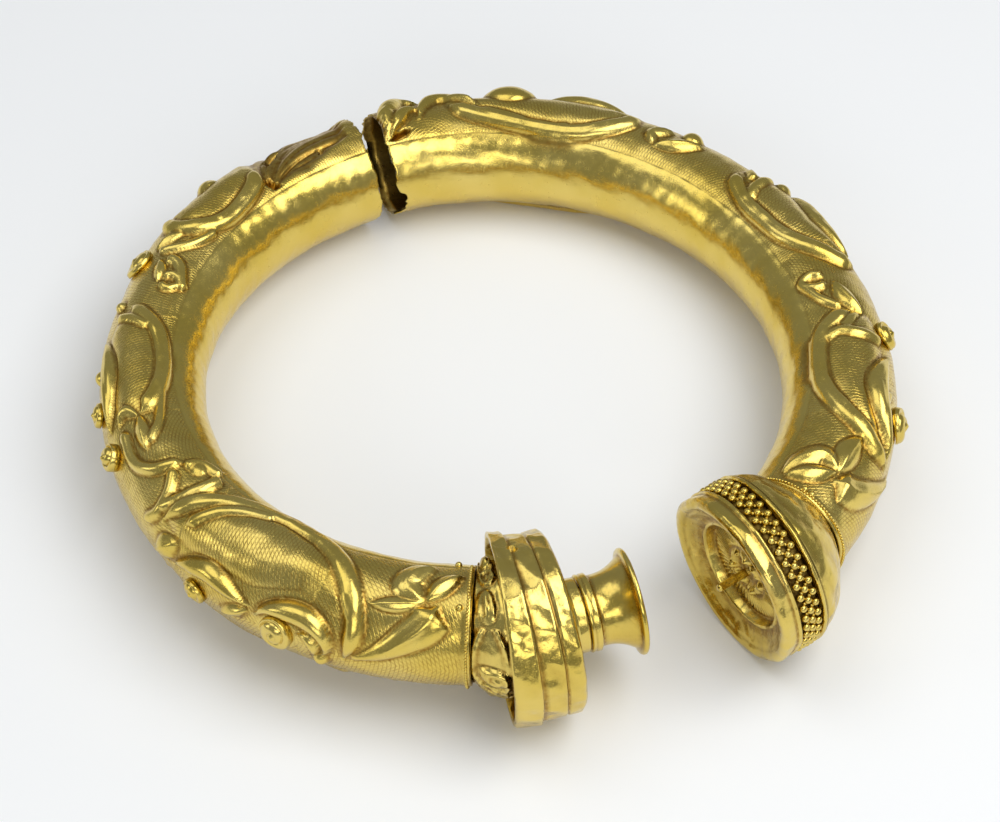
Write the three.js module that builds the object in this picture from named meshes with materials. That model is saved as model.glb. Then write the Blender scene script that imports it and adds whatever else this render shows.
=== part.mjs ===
import * as THREE from "three";

// Celtic gold torc: two hollow tube halves with raised ornament, a drum terminal with a spool,
// and a cup terminal with a beaded channel. Millimetres, +Z up, terminals towards -Y.

// Ring
const ringRadius = 82.5;
const tubeRadius = 13.1;
const sheet = 1.3;
const seamGap = 0.3;
const leftEnd = 266;
const leftBreak = 115.5;
const rightEnd = -37.5;
const rightBreak = 110.6;
const turnToFront = -24;
const tiltOfRing = -2.32;
const leanOfRing = 1.47;
const flatSpot = 0.5;

// Each half bends a little differently: offset, oval and swelling of the outer side by bearing
const leftHalf = {
  from: leftBreak,
  to: leftEnd,
  shift: [-0.18, 1.68],
  oval: [1.03, 1.42],
  swell: [
    [112, 0.9], [140, 1.4], [155, 0.6], [168, -0.6], [200, -0.9],
    [215, -0.4], [230, 0.8], [246, 1.2], [262, 0.9],
  ],
  tornEnd: leftBreak,
};
const rightHalf = {
  from: rightEnd,
  to: rightBreak,
  shift: [0.19, -1.64],
  oval: [-0.97, -1.16],
  swell: [[-36, 1.4], [-20, 1.4], [0, 1.0], [40, 0.2], [90, 0.5], [112, 0.4]],
  tornEnd: rightBreak,
};

// Drum terminal, sizes along its own axis from the drum's rear rim
const drumAxis = { at: [0.3, -82.4, -0.7], bearing: 15.2, rise: 2.9 };
const drumNeck = 6.0;
const neckFlare = 2.6;
const drumRadius = 22.3;
const drumRear = { from: -0.8, to: 3.9 };
const drumMiddle = { to: 9.4, inset: 1.0 };
const drumFront = { to: 13.8, inset: 1.1 };
const drumRim = 1.3;
const stubRadius = 8.9;
const stubEnd = 18.4;
const spoolRing = 2.6;
const spoolEnd = 31.0;
const spoolWaist = 8.2;
const spoolFlare = 12.4;

// Cup terminal, sizes along its own axis from the mouth
const cupAxis = { at: [52.0, -68.3, -0.25], bearing: 32.8, rise: 5.9 };
const cupRadius = 21.4;
const lipWidth = 3.0;
const cupBand = 4.8;
const channelEnd = 11.0;
const channelDepth = 2.3;
const collarEnd = 22.2;
const cupStep = { depth: 3.2, radius: 13.3 };
const cupFloor = 5.2;
const studRadius = 1.0;
const studTip = -2.8;
const beadsAround = 44;
const beadRows = 3;
const bead = 0.75;

const deg = Math.PI / 180;
const chartU = deg * (ringRadius + 5);
const chartV = deg * tubeRadius;

const gold = (name, color, roughness) => {
  const material = new THREE.MeshStandardMaterial({ color, roughness, metalness: 1 });
  material.name = name;
  return material;
};
const tubeGold = gold("tube_gold", 0xd8a93c, 0.3);
const castGold = gold("cast_gold", 0xdfb34a, 0.24);
const beadGold = gold("bead_gold", 0xc99a34, 0.28);

// Raised ornament: kind, half width, height, then bearing and angle round the tube in pairs
const leftStrokes = [
  ["ridge", 1.8, 1.6, 215.5, 30, 218, 68, 221.5, 92, 227, 110, 233, 117, 240, 109, 245, 90, 248.5, 62,
    250, 30, 248.5, -10],
  ["ridge", 1.3, 0.9, 220.5, 50, 223, 80, 225.5, 95, 231, 112],
  ["leaf", 2.9, 1.3, 259, 66, 256, 82, 256.6, 96, 259.6, 110],
  ["leaf", 2.1, 1.3, 259.3, 67, 261.2, 84, 264.2, 100],
  ["leaf", 1.5, 1.0, 251.5, 58, 255, 61.5, 259, 66],
  ["tail", 4.2, 1.5, 260.8, 60, 259.6, 45, 256.6, 28, 253.4, 12, 250, 0],
  ["crescent", 1.9, 2.2, 235.4, 10, 237, 23, 240.2, 30, 243.4, 29.5, 245.8, 20, 246.6, 6, 245.6, -7],
  ["crescent", 1.2, 1.5, 242.2, 13, 243.8, 12, 244.9, 4, 244.6, -9],
  ["crescent", 1.9, 2.0, 220.5, 6, 222, 15, 227, 27, 232, 21, 234.5, 17],
  ["leaf", 1.3, 1.2, 229.5, -8, 232, 2, 234.2, 12],
  ["leaf", 2.6, 1.5, 216, 0, 218, 14, 220, 28],
  ["ridge", 1.2, 1.0, 211, 88, 212, 106, 216, 116],
  ["ridge", 1.4, 1.3, 216.8, 112, 217.2, 95, 216, 65, 214, 40],
  ["ridge", 1.2, 1.2, 210.5, 80, 213.5, 60, 214.2, 38, 212.5, 17],
  ["ridge", 1.3, 1.2, 210.3, 92, 208.5, 63, 205, 47, 198, 49],
  ["leaf", 1.7, 1.2, 197.3, 73, 200.5, 70, 204.3, 66],
  ["ridge", 1.0, 0.9, 193, 103, 200, 90, 203.8, 70],
  ["leaf", 1.2, 0.9, 197.5, 72, 195.6, 58, 197, 44],
  ["ridge", 1.7, 1.5, 172.5, 60, 174.5, 76, 179, 100, 186, 108.5, 192, 102, 196, 85, 197.3, 72],
  ["ridge", 1.3, 0.9, 175, 50, 176.4, 72, 178.5, 92],
  ["crescent", 1.9, 2.0, 178, 32, 180, 40, 186, 46, 192, 40, 196.5, 30],
  ["ridge", 1.3, 1.1, 161.5, 78, 162.5, 94, 168.5, 112],
  ["ridge", 0.9, 0.9, 166.4, 84, 165.2, 95, 167, 106, 168.6, 95, 167.4, 84],
  ["leaf", 1.4, 1.1, 162, 72, 164, 77, 167, 81],
  ["ridge", 1.7, 1.5, 136, 75, 138, 92, 143, 104, 150, 104, 153.5, 86, 154.4, 62, 152, 38],
  ["ridge", 1.1, 1.0, 152, 107, 156, 99, 158.8, 83, 160.3, 62],
  ["leaf", 1.5, 1.0, 155.5, 79, 156.6, 68, 159.6, 58],
];
const leftDomes = [
  [245.5, -12, 1.9, 1.7],
  [142.5, 44, 3.0, 1.8],
  [171.5, 43, 1.7, 1.5],
  [212.9, 101, 2.3, 0.9],
  [185, 30, 2.2, 2.0],
];
const leftBosses = [
  [239, 2, 4.2, 3.6],
  [224.5, -10, 3.2, 3.0],
  [200, 21, 3.4, 4.8],
  [190.5, 14, 3.1, 3.2],
  [161.5, 38, 4.2, 2.8],
];
const rightStrokes = [
  ["ridge", 1.8, 1.6, 5, 66, 4.2, 84, 0, 108, -6, 113.5, -12, 108, -17, 88, -20, 60, -21.5, 35, -22, 12],
  ["ridge", 1.3, 0.9, -0.5, 45, -0.7, 72, -0.2, 92, -2, 108],
  ["ridge", 1.0, 0.8, 5, 69, 3, 77, 0.5, 86],
  ["leaf", 2.4, 1.3, -21.5, 57, -25.5, 62.5, -30, 62],
  ["leaf", 2.5, 1.3, -30, 62, -28.3, 82, -30.6, 98, -34.8, 109],
  ["leaf", 2.1, 1.3, -30.4, 64, -33, 84, -35.4, 104],
  ["tail", 3.8, 1.5, -31.6, 58, -31, 42, -28.4, 25, -25, 10, -21.5, 0],
  ["crescent", 2.2, 2.4, -2, 32, -4, 43, -10, 53, -15, 44, -20.5, 17],
  ["crescent", 1.2, 1.2, -8.5, 26, -10.5, 38, -13, 41, -15, 28],
  ["leaf", 2.0, 1.4, 5, 60, 8.5, 73, 12.5, 80],
  ["ridge", 1.0, 1.0, 12.4, 86, 11.8, 98, 13.4, 112, 15, 99, 14, 86],
  ["ridge", 1.0, 0.9, 14, 114, 8.2, 96, 6, 80],
  ["ridge", 1.7, 1.5, 44, 72, 43, 86, 38, 102, 32, 104.5, 26, 99, 21, 79, 17.8, 53, 18, 33],
  ["ridge", 1.3, 0.9, 37, 101, 38.6, 84, 39, 55],
  ["ridge", 1.0, 0.8, 43, 62, 40.3, 76],
  ["crescent", 1.8, 1.9, 20, 28, 22, 38, 28, 43, 34, 36, 38, 24],
  ["leaf", 2.0, 1.3, 60, 97, 57, 86, 52.4, 66],
  ["leaf", 1.7, 1.2, 60.4, 95, 61.6, 80, 58.6, 62],
  ["ridge", 1.7, 1.5, 98.5, 72, 96, 86, 90, 102, 81, 112, 74, 109, 69, 93, 66, 74, 65, 52],
  ["ridge", 0.9, 0.8, 93.5, 88, 87.5, 99, 81, 108.5, 75, 104],
  ["crescent", 1.8, 1.9, 68, 28, 71, 40, 77, 44, 82, 34],
  ["lobe", 2.2, 2.3, 109.9, 108, 109.2, 84, 107.4, 60, 105, 46, 102.8, 54],
  ["lobe", 1.6, 1.9, 109.3, 109, 107.6, 92, 105.4, 78, 103.2, 74],
  ["lobe", 1.7, 1.6, 103.6, 94, 102.2, 70, 99.6, 52, 96.4, 62, 93, 84],
];
const rightDomes = [
  [87.5, 48, 7.2, 3.2],
  [55.5, 54, 3.0, 2.0],
  [37, 46, 2.6, 1.8],
];
const rightBosses = [
  [3, 31, 3.6, 3.4],
  [-12, 8, 4.2, 3.8],
  [28.5, 16, 3.6, 3.2],
];

// Swelling panels inside the arches: rise, width of the slope, then the outline in bearing and angle
const leftPanels = [
  [1.7, 7.0, 216.5, 40, 218, 68, 221.5, 92, 227, 110, 233, 117, 240, 109, 245, 90, 248.5, 62,
    249, 38, 247, 38, 241, 52, 234.5, 38, 226, 34, 219, 32],
  [1.5, 5.5, 173, 50, 174.5, 76, 179, 100, 186, 108.5, 192, 102, 196, 85, 197.3, 72, 196.5, 48,
    190, 46, 184, 46, 178, 40],
  [1.6, 6.0, 136, 60, 136, 75, 138, 92, 143, 104, 150, 104, 153.5, 86, 154.4, 62, 152, 40,
    146, 50, 140, 52],
];
const rightPanels = [
  [1.7, 6.5, 5, 52, 5, 66, 4.2, 84, 0, 108, -6, 113.5, -12, 108, -17, 88, -20, 60, -20.5, 38,
    -15, 46, -10, 55, -4, 46, 1, 40],
  [1.7, 6.5, 44, 60, 44, 72, 43, 86, 38, 102, 32, 104.5, 26, 99, 21, 79, 17.8, 53, 19, 38,
    28, 47, 36, 42, 41, 48],
  [1.6, 6.5, 98.5, 60, 98.5, 72, 96, 86, 90, 102, 81, 112, 74, 109, 69, 93, 66, 74, 65, 50,
    71, 46, 77, 50, 86, 52],
];

// Sunken place near the left break: depth, width of its slope, then its outline as above
const dent = [2.6, 1.6, 134, 50, 134.5, 80, 136.5, 96, 136, 113, 131, 111, 128, 114, 124, 102, 120, 90,
  118, 70, 118, 46, 122, 36, 130, 34];

const clamp01 = (x) => Math.min(1, Math.max(0, x));
const smooth = (a, b, x) => {
  const t = clamp01((x - a) / (b - a));
  return t * t * (3 - 2 * t);
};

const chartOf = (bearing, angle) => [bearing * chartU, angle * chartV];

const readOutline = (places) => {
  const outline = [];
  for (let i = 0; i < places.length; i += 2) outline.push(chartOf(places[i], places[i + 1]));
  return outline;
};

// Each kind of stroke: how much wider and higher it is than listed, and its fullness along its run
const strokeKinds = {
  ridge: { widen: 1.05, lift: 1.2, along: (t) => smooth(0, 0.1, t) * smooth(0, 0.1, 1 - t) },
  leaf: { widen: 1.15, lift: 1.4, along: (t) => Math.pow(Math.sin(Math.PI * t), 0.7), ribbed: true },
  crescent: { widen: 1.3, lift: 1.4, along: (t) => Math.sin(Math.PI * t) },
  lobe: { widen: 1.3, lift: 1.3, along: (t) => Math.sin(Math.PI * t), oneSided: true },
  tail: { widen: 1.15, lift: 1.6, along: (t) => smooth(-0.04, 0.1, t) * Math.pow(1 - t, 0.75), ribbed: true },
};

const readStroke = ([kind, half, height, ...places]) => {
  const knots = readOutline(places).map(([u, v]) => new THREE.Vector3(u, v, 0));
  const curve = new THREE.CatmullRomCurve3(knots, false, "centripetal");
  const count = Math.ceil(curve.getLength() / 1.5);
  const path = curve.getSpacedPoints(count).map((p, i) => ({ u: p.x, v: p.y, t: i / count }));
  const { widen, lift, along, ribbed, oneSided } = strokeKinds[kind];
  return { along, half: half * widen, height: height * lift, path, ribbed, oneSided };
};

const readPanel = ([rise, width, ...places]) => ({ rise, width, outline: readOutline(places) });

// The far side of each tube repeats the arches and leaves that cross well over the visible side
const withFarSide = (strokes) => {
  const read = strokes.map(readStroke);
  const far = read
    .filter((s) => !s.oneSided && Math.min(...s.path.map((p) => p.v)) > 22 * chartV)
    .map((s) => ({ ...s, path: s.path.map((p) => ({ ...p, v: -p.v })) }));
  return [...read, ...far];
};

const withFarPanels = (panels) => {
  const read = panels.map(readPanel);
  return [...read, ...read.map((p) => ({ ...p, outline: p.outline.map(([u, v]) => [u, -v]) }))];
};

// Distance in from an outline for a point inside it, zero outside
const insideDepth = (outline, u, v) => {
  let inside = false;
  let near = Infinity;
  outline.forEach(([au, av], i) => {
    const [bu, bv] = outline[(i + 1) % outline.length];
    if (av > v !== bv > v && u < ((bu - au) * (v - av)) / (bv - av) + au) inside = !inside;
    const du = bu - au;
    const dv = bv - av;
    const k = clamp01(((u - au) * du + (v - av) * dv) / (du * du + dv * dv));
    near = Math.min(near, Math.hypot(u - au - k * du, v - av - k * dv));
  });
  return inside ? near : 0;
};

const grown = (outline, factor) => {
  const cu = outline.reduce((sum, [u]) => sum + u, 0) / outline.length;
  const cv = outline.reduce((sum, [, v]) => sum + v, 0) / outline.length;
  return outline.map(([u, v]) => [cu + (u - cu) * factor, cv + (v - cv) * factor]);
};

const nearestOnStroke = (stroke, u, v, stretch) => {
  let best = { d: Infinity, t: 0 };
  for (let i = 1; i < stroke.path.length; i += 1) {
    const a = stroke.path[i - 1];
    const b = stroke.path[i];
    const abU = (b.u - a.u) * stretch;
    const abV = b.v - a.v;
    const apU = (u - a.u) * stretch;
    const apV = v - a.v;
    const k = clamp01((apU * abU + apV * abV) / (abU * abU + abV * abV));
    const d = Math.hypot(apU - k * abU, apV - k * abV);
    if (d < best.d) best = { d, t: a.t + (b.t - a.t) * k };
  }
  return best;
};

const stretchAt = (v) => (ringRadius + tubeRadius * Math.cos(v / tubeRadius)) / (ringRadius + 5);

const reliefAt = (ornament, u, v) => {
  const stretch = stretchAt(v);
  for (const [bearing, angle, radius] of ornament.bosses) {
    const [bu, bv] = chartOf(bearing, angle);
    if (Math.hypot((u - bu) * stretch, v - bv) < radius + 1) return 0;
  }
  let height = 0;
  for (const stroke of ornament.strokes) {
    const { d, t } = nearestOnStroke(stroke, u, v, stretch);
    const full = stroke.along(t);
    const half = Math.max(0.05, stroke.half * Math.max(full, 0.15));
    const q = d / half;
    if (q >= 1) continue;
    const rib = stroke.ribbed ? 0.2 * (1 - Math.min(1, 4 * q)) : 0;
    const across = (stroke.ribbed ? 0.8 : 1) * Math.pow(1 - q * q, 0.8) + rib;
    height = Math.max(height, stroke.height * Math.pow(full, 0.6) * across);
  }
  for (const [bearing, angle, radius, rise] of ornament.domes) {
    const [du, dv] = chartOf(bearing, angle);
    const q = Math.hypot((u - du) * stretch, v - dv) / radius;
    if (q < 1) height = Math.max(height, rise * Math.pow(1 - q * q, 0.7));
  }
  let base = 0;
  for (const { rise, width, outline } of ornament.panels) {
    const k = clamp01(insideDepth(outline, u, v) / width);
    base = Math.max(base, rise * (1 - (1 - k) ** 2));
  }
  return height + base;
};

// The sheet is pressed in as a whole, so its inside follows a little wider
const dentAt = ({ dent: sunk }, u, v) => {
  if (!sunk) return 0;
  return sunk.rise * smooth(0, sunk.width, insideDepth(sunk.outline, u, v));
};
const dentInsideAt = ({ dent: sunk }, u, v) => {
  if (!sunk) return 0;
  return sunk.rise * smooth(0, sunk.width, insideDepth(grown(sunk.outline, 1.25), u, v));
};

// Uneven torn edge at the break, fading out into the tube
const tornShift = (half, bearing, angle) => {
  const reach = Math.abs(bearing - half.tornEnd);
  const a = angle * deg;
  const tear = 0.45 * Math.sin(3 * a + 1) + 0.35 * Math.sin(7 * a) + 0.3 * Math.sin(13 * a + 2);
  return tear * smooth(0, 1, 1 - reach / 6);
};

const centreOf = (half, bearing) => {
  const a = bearing * deg;
  const radius = ringRadius + half.oval[0] * Math.cos(2 * a) + half.oval[1] * Math.sin(2 * a);
  return [half.shift[0] + radius * Math.cos(a), half.shift[1] + radius * Math.sin(a)];
};

const swellAt = (half, bearing, angle) => {
  const table = half.swell;
  let i = 1;
  while (i < table.length - 1 && bearing > table[i][0]) i += 1;
  const [b0, s0] = table[i - 1];
  const [b1, s1] = table[i];
  const amount = s0 + (s1 - s0) * clamp01((bearing - b0) / (b1 - b0));
  return amount * 0.5 * (1 + Math.cos(angle * deg));
};

const onTube = (half, bearing, angle, out) => {
  const b = bearing + tornShift(half, bearing, angle);
  const [cx, cy] = centreOf(half, b);
  const r = tubeRadius + swellAt(half, bearing, angle) + out;
  const flat = r * Math.cos(angle * deg);
  return [cx + flat * Math.cos(b * deg), cy + flat * Math.sin(b * deg), r * Math.sin(angle * deg)];
};

// Points of the chart joined into triangles, each circle round a triangle kept empty
const triangulate = (points) => {
  const far = 1e5;
  const all = [...points, [-far, -far], [far, -far], [0, far]];
  const n = points.length;
  const circleOf = (a, b, c) => {
    const [ax, ay] = all[a];
    const bx = all[b][0] - ax;
    const by = all[b][1] - ay;
    const cx = all[c][0] - ax;
    const cy = all[c][1] - ay;
    const d = 2 * (bx * cy - by * cx);
    const ux = (cy * (bx * bx + by * by) - by * (cx * cx + cy * cy)) / d;
    const uy = (bx * (cx * cx + cy * cy) - cx * (bx * bx + by * by)) / d;
    return { a, b, c, x: ax + ux, y: ay + uy, rr: ux * ux + uy * uy };
  };
  let faces = [circleOf(n, n + 1, n + 2)];
  for (let i = 0; i < n; i += 1) {
    const [px, py] = all[i];
    const edges = new Map();
    const kept = [];
    for (const f of faces) {
      if ((f.x - px) ** 2 + (f.y - py) ** 2 > f.rr * (1 + 1e-12)) {
        kept.push(f);
        continue;
      }
      for (const [p, q] of [[f.a, f.b], [f.b, f.c], [f.c, f.a]]) {
        const twin = `${q},${p}`;
        if (edges.has(twin)) edges.delete(twin);
        else edges.set(`${p},${q}`, [p, q]);
      }
    }
    faces = kept;
    for (const [p, q] of edges.values()) faces.push(circleOf(p, q, i));
  }
  return faces.filter((f) => f.a < n && f.b < n && f.c < n).map((f) => [f.a, f.b, f.c]);
};

// Chart points of one half: fixed rows at the ends and along the inner seam of the chart,
// then strokes, bosses and an open grid, each kept a set distance from what is already there
const endAngles = Array.from({ length: 19 }, (_, i) => -180 + i * 20);
const innerRun = 6.2;

const chartPoints = (half, ornament, inside) => {
  const list = [];
  const [u0] = chartOf(half.from, 0);
  const [u1] = chartOf(half.to, 0);
  const rows = Math.round((half.to - half.from) / innerRun);
  for (const angle of endAngles) {
    list.push([u0, angle * chartV], [u1, angle * chartV]);
  }
  for (let i = 1; i < rows; i += 1) {
    const u = u0 + ((u1 - u0) * i) / rows;
    list.push([u, -180 * chartV], [u, 180 * chartV]);
  }
  const add = (u, v, apart) => {
    if (u < u0 + apart || u > u1 - apart || Math.abs(v) > 180 * chartV - apart) return;
    if (list.every(([a, b]) => Math.hypot(a - u, b - v) > apart)) list.push([u, v]);
  };
  if (ornament.dent) {
    const { outline } = ornament.dent;
    for (const factor of inside ? [1.14, 1.3, 0.5] : [1.02, 0.84, 0.45]) {
      for (const [u, v] of grown(outline, factor)) add(u, v, 0.7);
    }
  }
  if (!inside) {
    for (const [bearing, angle, radius] of [...ornament.bosses, ...ornament.domes]) {
      const [cu, cv] = chartOf(bearing, angle);
      add(cu, cv, 0.8);
      for (const ring of radius > 2.5 ? [0.55, 1.05] : [1.05]) {
        const count = Math.round(5 + radius * ring);
        for (let k = 0; k < count; k += 1) {
          const a = (2 * Math.PI * k) / count;
          add(cu + radius * ring * Math.cos(a), cv + radius * ring * Math.sin(a), 0.8);
        }
      }
    }
    for (const across of [0, 1, 0.6]) {
      for (const stroke of ornament.strokes) {
        if (across === 0.6 && stroke.half < 2.6) continue;
        const apart = across === 0 ? 1.9 : 1.25;
        for (const side of across === 0 ? [1] : [-1, 1]) {
          let run = 9;
          for (let i = 1; i < stroke.path.length; i += 1) {
            const p = stroke.path[i];
            const o = stroke.path[i - 1];
            const du = p.u - o.u;
            const dv = p.v - o.v;
            const step = Math.hypot(du, dv);
            run += step;
            if (run < 4.1 && i < stroke.path.length - 1) continue;
            run = 0;
            const reach = (side * across * stroke.half * Math.max(stroke.along(p.t), 0.2)) / step;
            add(p.u - dv * reach, p.v + du * reach, apart);
          }
        }
      }
    }
    for (const { outline } of ornament.panels) {
      for (const [u, v] of grown(outline, 0.55)) add(u, v, 2.6);
    }
  }
  const pitchV = inside ? 36 : 22;
  const pitchU = inside ? 10 : 5;
  for (let j = 0; j * pitchV < 360; j += 1) {
    const angle = -180 + (j + 0.5) * pitchV;
    const plain = Math.abs(angle) > 120;
    const stepU = plain ? 6.5 : pitchU;
    for (let b = half.from + (j % 2) * stepU * 0.5; b < half.to; b += stepU) {
      const [u, v] = chartOf(b, angle);
      add(u, v, inside ? 5 : 3.7);
    }
  }
  return list;
};

class Solid {
  constructor() {
    this.points = [];
    this.faces = [];
  }

  add(p) {
    return this.points.push(p) - 1;
  }

  face(a, b, c) {
    if (a !== b && b !== c && a !== c) this.faces.push([a, b, c]);
  }

  quad(a, b, c, d) {
    this.face(a, b, c);
    this.face(a, c, d);
  }
}

const tubeSolid = (half, ornament) => {
  const solid = new Solid();
  const [u0] = chartOf(half.from, 0);
  const [u1] = chartOf(half.to, 0);
  const ends = [];
  const skin = (points, outOf, inside) => {
    const faces = triangulate(points);
    const seen = new Map();
    const ids = points.map(([u, v]) => {
      const wrapped = v > 179.99 * chartV ? -180 * chartV : v;
      const key = `${u.toFixed(4)},${wrapped.toFixed(4)}`;
      if (!seen.has(key)) seen.set(key, solid.add(onTube(half, u / chartU, v / chartV, outOf(u, v))));
      return seen.get(key);
    });
    for (const [a, b, c] of faces) {
      if (inside) solid.face(ids[a], ids[c], ids[b]);
      else solid.face(ids[a], ids[b], ids[c]);
    }
    for (const u of [u0, u1]) {
      ends.push(endAngles.map((angle) => {
        const wrapped = angle > 179 ? -180 : angle;
        return seen.get(`${u.toFixed(4)},${(wrapped * chartV).toFixed(4)}`);
      }));
    }
  };
  const outside = (u, v) => reliefAt(ornament, u, v) - dentAt(ornament, u, v);
  const within = (u, v) => -sheet - dentInsideAt(ornament, u, v);
  skin(chartPoints(half, ornament, false), outside, false);
  skin(chartPoints(half, ornament, true), within, true);
  for (let i = 1; i < endAngles.length; i += 1) {
    solid.quad(ends[0][i - 1], ends[0][i], ends[2][i], ends[2][i - 1]);
    solid.quad(ends[1][i], ends[1][i - 1], ends[3][i - 1], ends[3][i]);
  }
  return solid;
};

// Snail-shell boss: a low cone wound with a spiral ridge, its underside following the tube
const bossSolid = (half, [bearing, angle, radius, rise]) => {
  const solid = new Solid();
  const around = 10;
  const rings = [1, 0.82, 0.62, 0.42, 0.22];
  const lift = 0.3;
  const [cu, cv] = chartOf(bearing, angle);
  const place = (q, a, out) => {
    const v = cv + q * radius * Math.sin(a);
    const u = cu + (q * radius * Math.cos(a)) / stretchAt(v);
    return onTube(half, u / chartU, v / chartV, out);
  };
  const foot = [];
  const rows = [];
  for (let k = 0; k < around; k += 1) foot.push(solid.add(place(1, (2 * Math.PI * k) / around, lift)));
  for (const q of rings) {
    const row = [];
    for (let k = 0; k < around; k += 1) {
      const a = (2 * Math.PI * k) / around;
      const wound = 0.5 - 0.5 * Math.cos(2 * Math.PI * (2.1 * q - k / around));
      row.push(solid.add(place(q, a, lift + rise * (0.12 + 0.38 * (1 - q) + 0.24 * wound))));
    }
    rows.push(row);
  }
  const tip = solid.add(place(0, 0, lift + rise * 0.74));
  const under = solid.add(place(0, 0, lift));
  for (let k = 0; k < around; k += 1) {
    const n = (k + 1) % around;
    solid.face(under, foot[n], foot[k]);
    solid.quad(foot[k], foot[n], rows[0][n], rows[0][k]);
    for (let i = 1; i < rows.length; i += 1) {
      solid.quad(rows[i - 1][k], rows[i - 1][n], rows[i][n], rows[i][k]);
    }
    solid.face(rows[rows.length - 1][k], rows[rows.length - 1][n], tip);
  }
  return solid;
};

const directionOf = (bearing, rise) => new THREE.Vector3(
  Math.cos(bearing * deg) * Math.cos(rise * deg),
  Math.sin(bearing * deg) * Math.cos(rise * deg),
  Math.sin(rise * deg),
);

// A terminal's axis runs straight, then bends over a neck to meet the end of its tube square on
const axisFrame = (axis, half, meetBearing, meetTurn, straightAt, meetAt) => {
  const [ex, ey] = centreOf(half, meetBearing);
  const back = meetAt < straightAt ? 1 : -1;
  const straight = directionOf(axis.bearing, axis.rise);
  const onLine = (s) => new THREE.Vector3(...axis.at).addScaledVector(straight, s);
  const end = new THREE.Vector3(ex, ey, 0).addScaledVector(directionOf(meetTurn, 0), back * seamGap);
  const offset = end.sub(onLine(meetAt));
  return (s) => {
    const k = clamp01((s - straightAt) / (meetAt - straightAt)) ** 3;
    const turn = axis.bearing + (meetTurn - axis.bearing) * k;
    const along = directionOf(turn, axis.rise * (1 - k));
    const centre = onLine(s).addScaledVector(offset, k);
    const out = new THREE.Vector3(Math.sin(turn * deg), -Math.cos(turn * deg), 0);
    const up = new THREE.Vector3().crossVectors(along, out).multiplyScalar(-1);
    return { centre, out, up };
  };
};

// A profile of along-axis and radius pairs carried round the axis; closed on itself
// unless it starts and ends at radius zero
const turned = (profile, frame, around, rise = () => 0) => {
  const solid = new Solid();
  const rows = profile.map(([s, r]) => {
    const { centre, out, up } = frame(s);
    const row = [];
    for (let k = 0; k < around; k += 1) {
      const a = (2 * Math.PI * k) / around;
      const radius = r + (r > 0 ? rise(s, r, a) : 0);
      const p = centre.clone().addScaledVector(out, radius * Math.cos(a)).addScaledVector(up, radius * Math.sin(a));
      if (r > 0 || k === 0) row.push(solid.add(p.toArray()));
      else row.push(row[0]);
    }
    return row;
  });
  const open = profile[0][1] === 0;
  for (let i = open ? 1 : 0; i < rows.length; i += 1) {
    const before = rows[(i + rows.length - 1) % rows.length];
    const row = rows[i];
    for (let k = 0; k < around; k += 1) {
      const n = (k + 1) % around;
      solid.quad(before[k], before[n], row[n], row[k]);
    }
  }
  return solid;
};

const drumFrame = axisFrame(drumAxis, leftHalf, leftEnd, leftEnd - 270, drumFront.to, drumRear.from - drumNeck);
const cupFrame = axisFrame(cupAxis, rightHalf, rightEnd, rightEnd + 90, channelEnd, collarEnd);

// Raised knobs and leaves round the drum's neck
const neckKnobs = [[93, 15, 1.0], [62, 14, 1.1], [28, 18, 0.8], [-8, 16, 1.9]];
const neckRise = (s, r, a) => {
  if (s > drumRear.from || r < tubeRadius - sheet * 0.5) return 0;
  const along = Math.sin(Math.PI * clamp01((drumRear.from - s) / drumNeck));
  let height = 0;
  for (let third = 0; third < 3; third += 1) {
    for (const [angle, half, rise] of neckKnobs) {
      let gap = Math.abs(a / deg - angle - third * 120) % 360;
      gap = Math.min(gap, 360 - gap);
      if (gap < half) height = Math.max(height, rise * Math.sqrt(1 - (gap / half) ** 2));
    }
  }
  return height * along;
};

const neckStart = drumRear.from - drumNeck;
const plateInside = drumFront.to - drumRim;
const middleRadius = drumRadius - drumMiddle.inset;
const frontRadius = drumRadius - drumFront.inset;
const drumProfile = [
  [neckStart, tubeRadius],
  [neckStart + 2, tubeRadius + 0.3 * neckFlare],
  [neckStart + 4, tubeRadius + 0.7 * neckFlare],
  [drumRear.from, tubeRadius + neckFlare],
  [plateInside, tubeRadius + neckFlare + 0.4],
  [plateInside, middleRadius - drumRim - 0.6],
  [drumRear.from, drumRadius - drumRim],
  [drumRear.from, drumRadius - 0.4],
  [drumRear.from + 0.5, drumRadius],
  [drumRear.to, drumRadius],
  [drumRear.to + 0.3, middleRadius],
  [drumMiddle.to, middleRadius],
  [drumMiddle.to + 0.3, middleRadius - 0.6],
  [drumMiddle.to + 0.6, frontRadius],
  [drumFront.to - 0.8, frontRadius - 0.1],
  [drumFront.to, frontRadius - 1.0],
  [drumFront.to, stubRadius],
  [stubEnd, stubRadius - 0.4],
  [stubEnd, stubRadius - 1.5],
  [plateInside, tubeRadius + neckFlare - drumRim],
  [neckStart, tubeRadius - sheet],
];

const spoolStart = stubEnd + seamGap;
const spoolSpan = spoolEnd - spoolStart;
const flareAt = (k) => spoolWaist + (spoolFlare - spoolWaist) * Math.pow(clamp01((k - 0.3) / 0.7), 2.2);
const spoolProfile = [[spoolStart, stubRadius - 1.9], [spoolStart, stubRadius]];
spoolProfile.push([spoolStart + spoolRing, stubRadius]);
for (let i = 1; i <= 5; i += 1) {
  const k = 0.24 + (0.7 * i) / 5;
  spoolProfile.push([spoolStart + spoolSpan * k, flareAt(k) + 0.02]);
}
spoolProfile.push([spoolEnd, spoolFlare]);
spoolProfile.push([spoolEnd, spoolFlare - 1.0]);
for (let i = 4; i >= 1; i -= 1) {
  const k = 0.24 + (0.7 * i) / 5;
  spoolProfile.push([spoolStart + spoolSpan * k, flareAt(k) - 1.2]);
}

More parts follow.
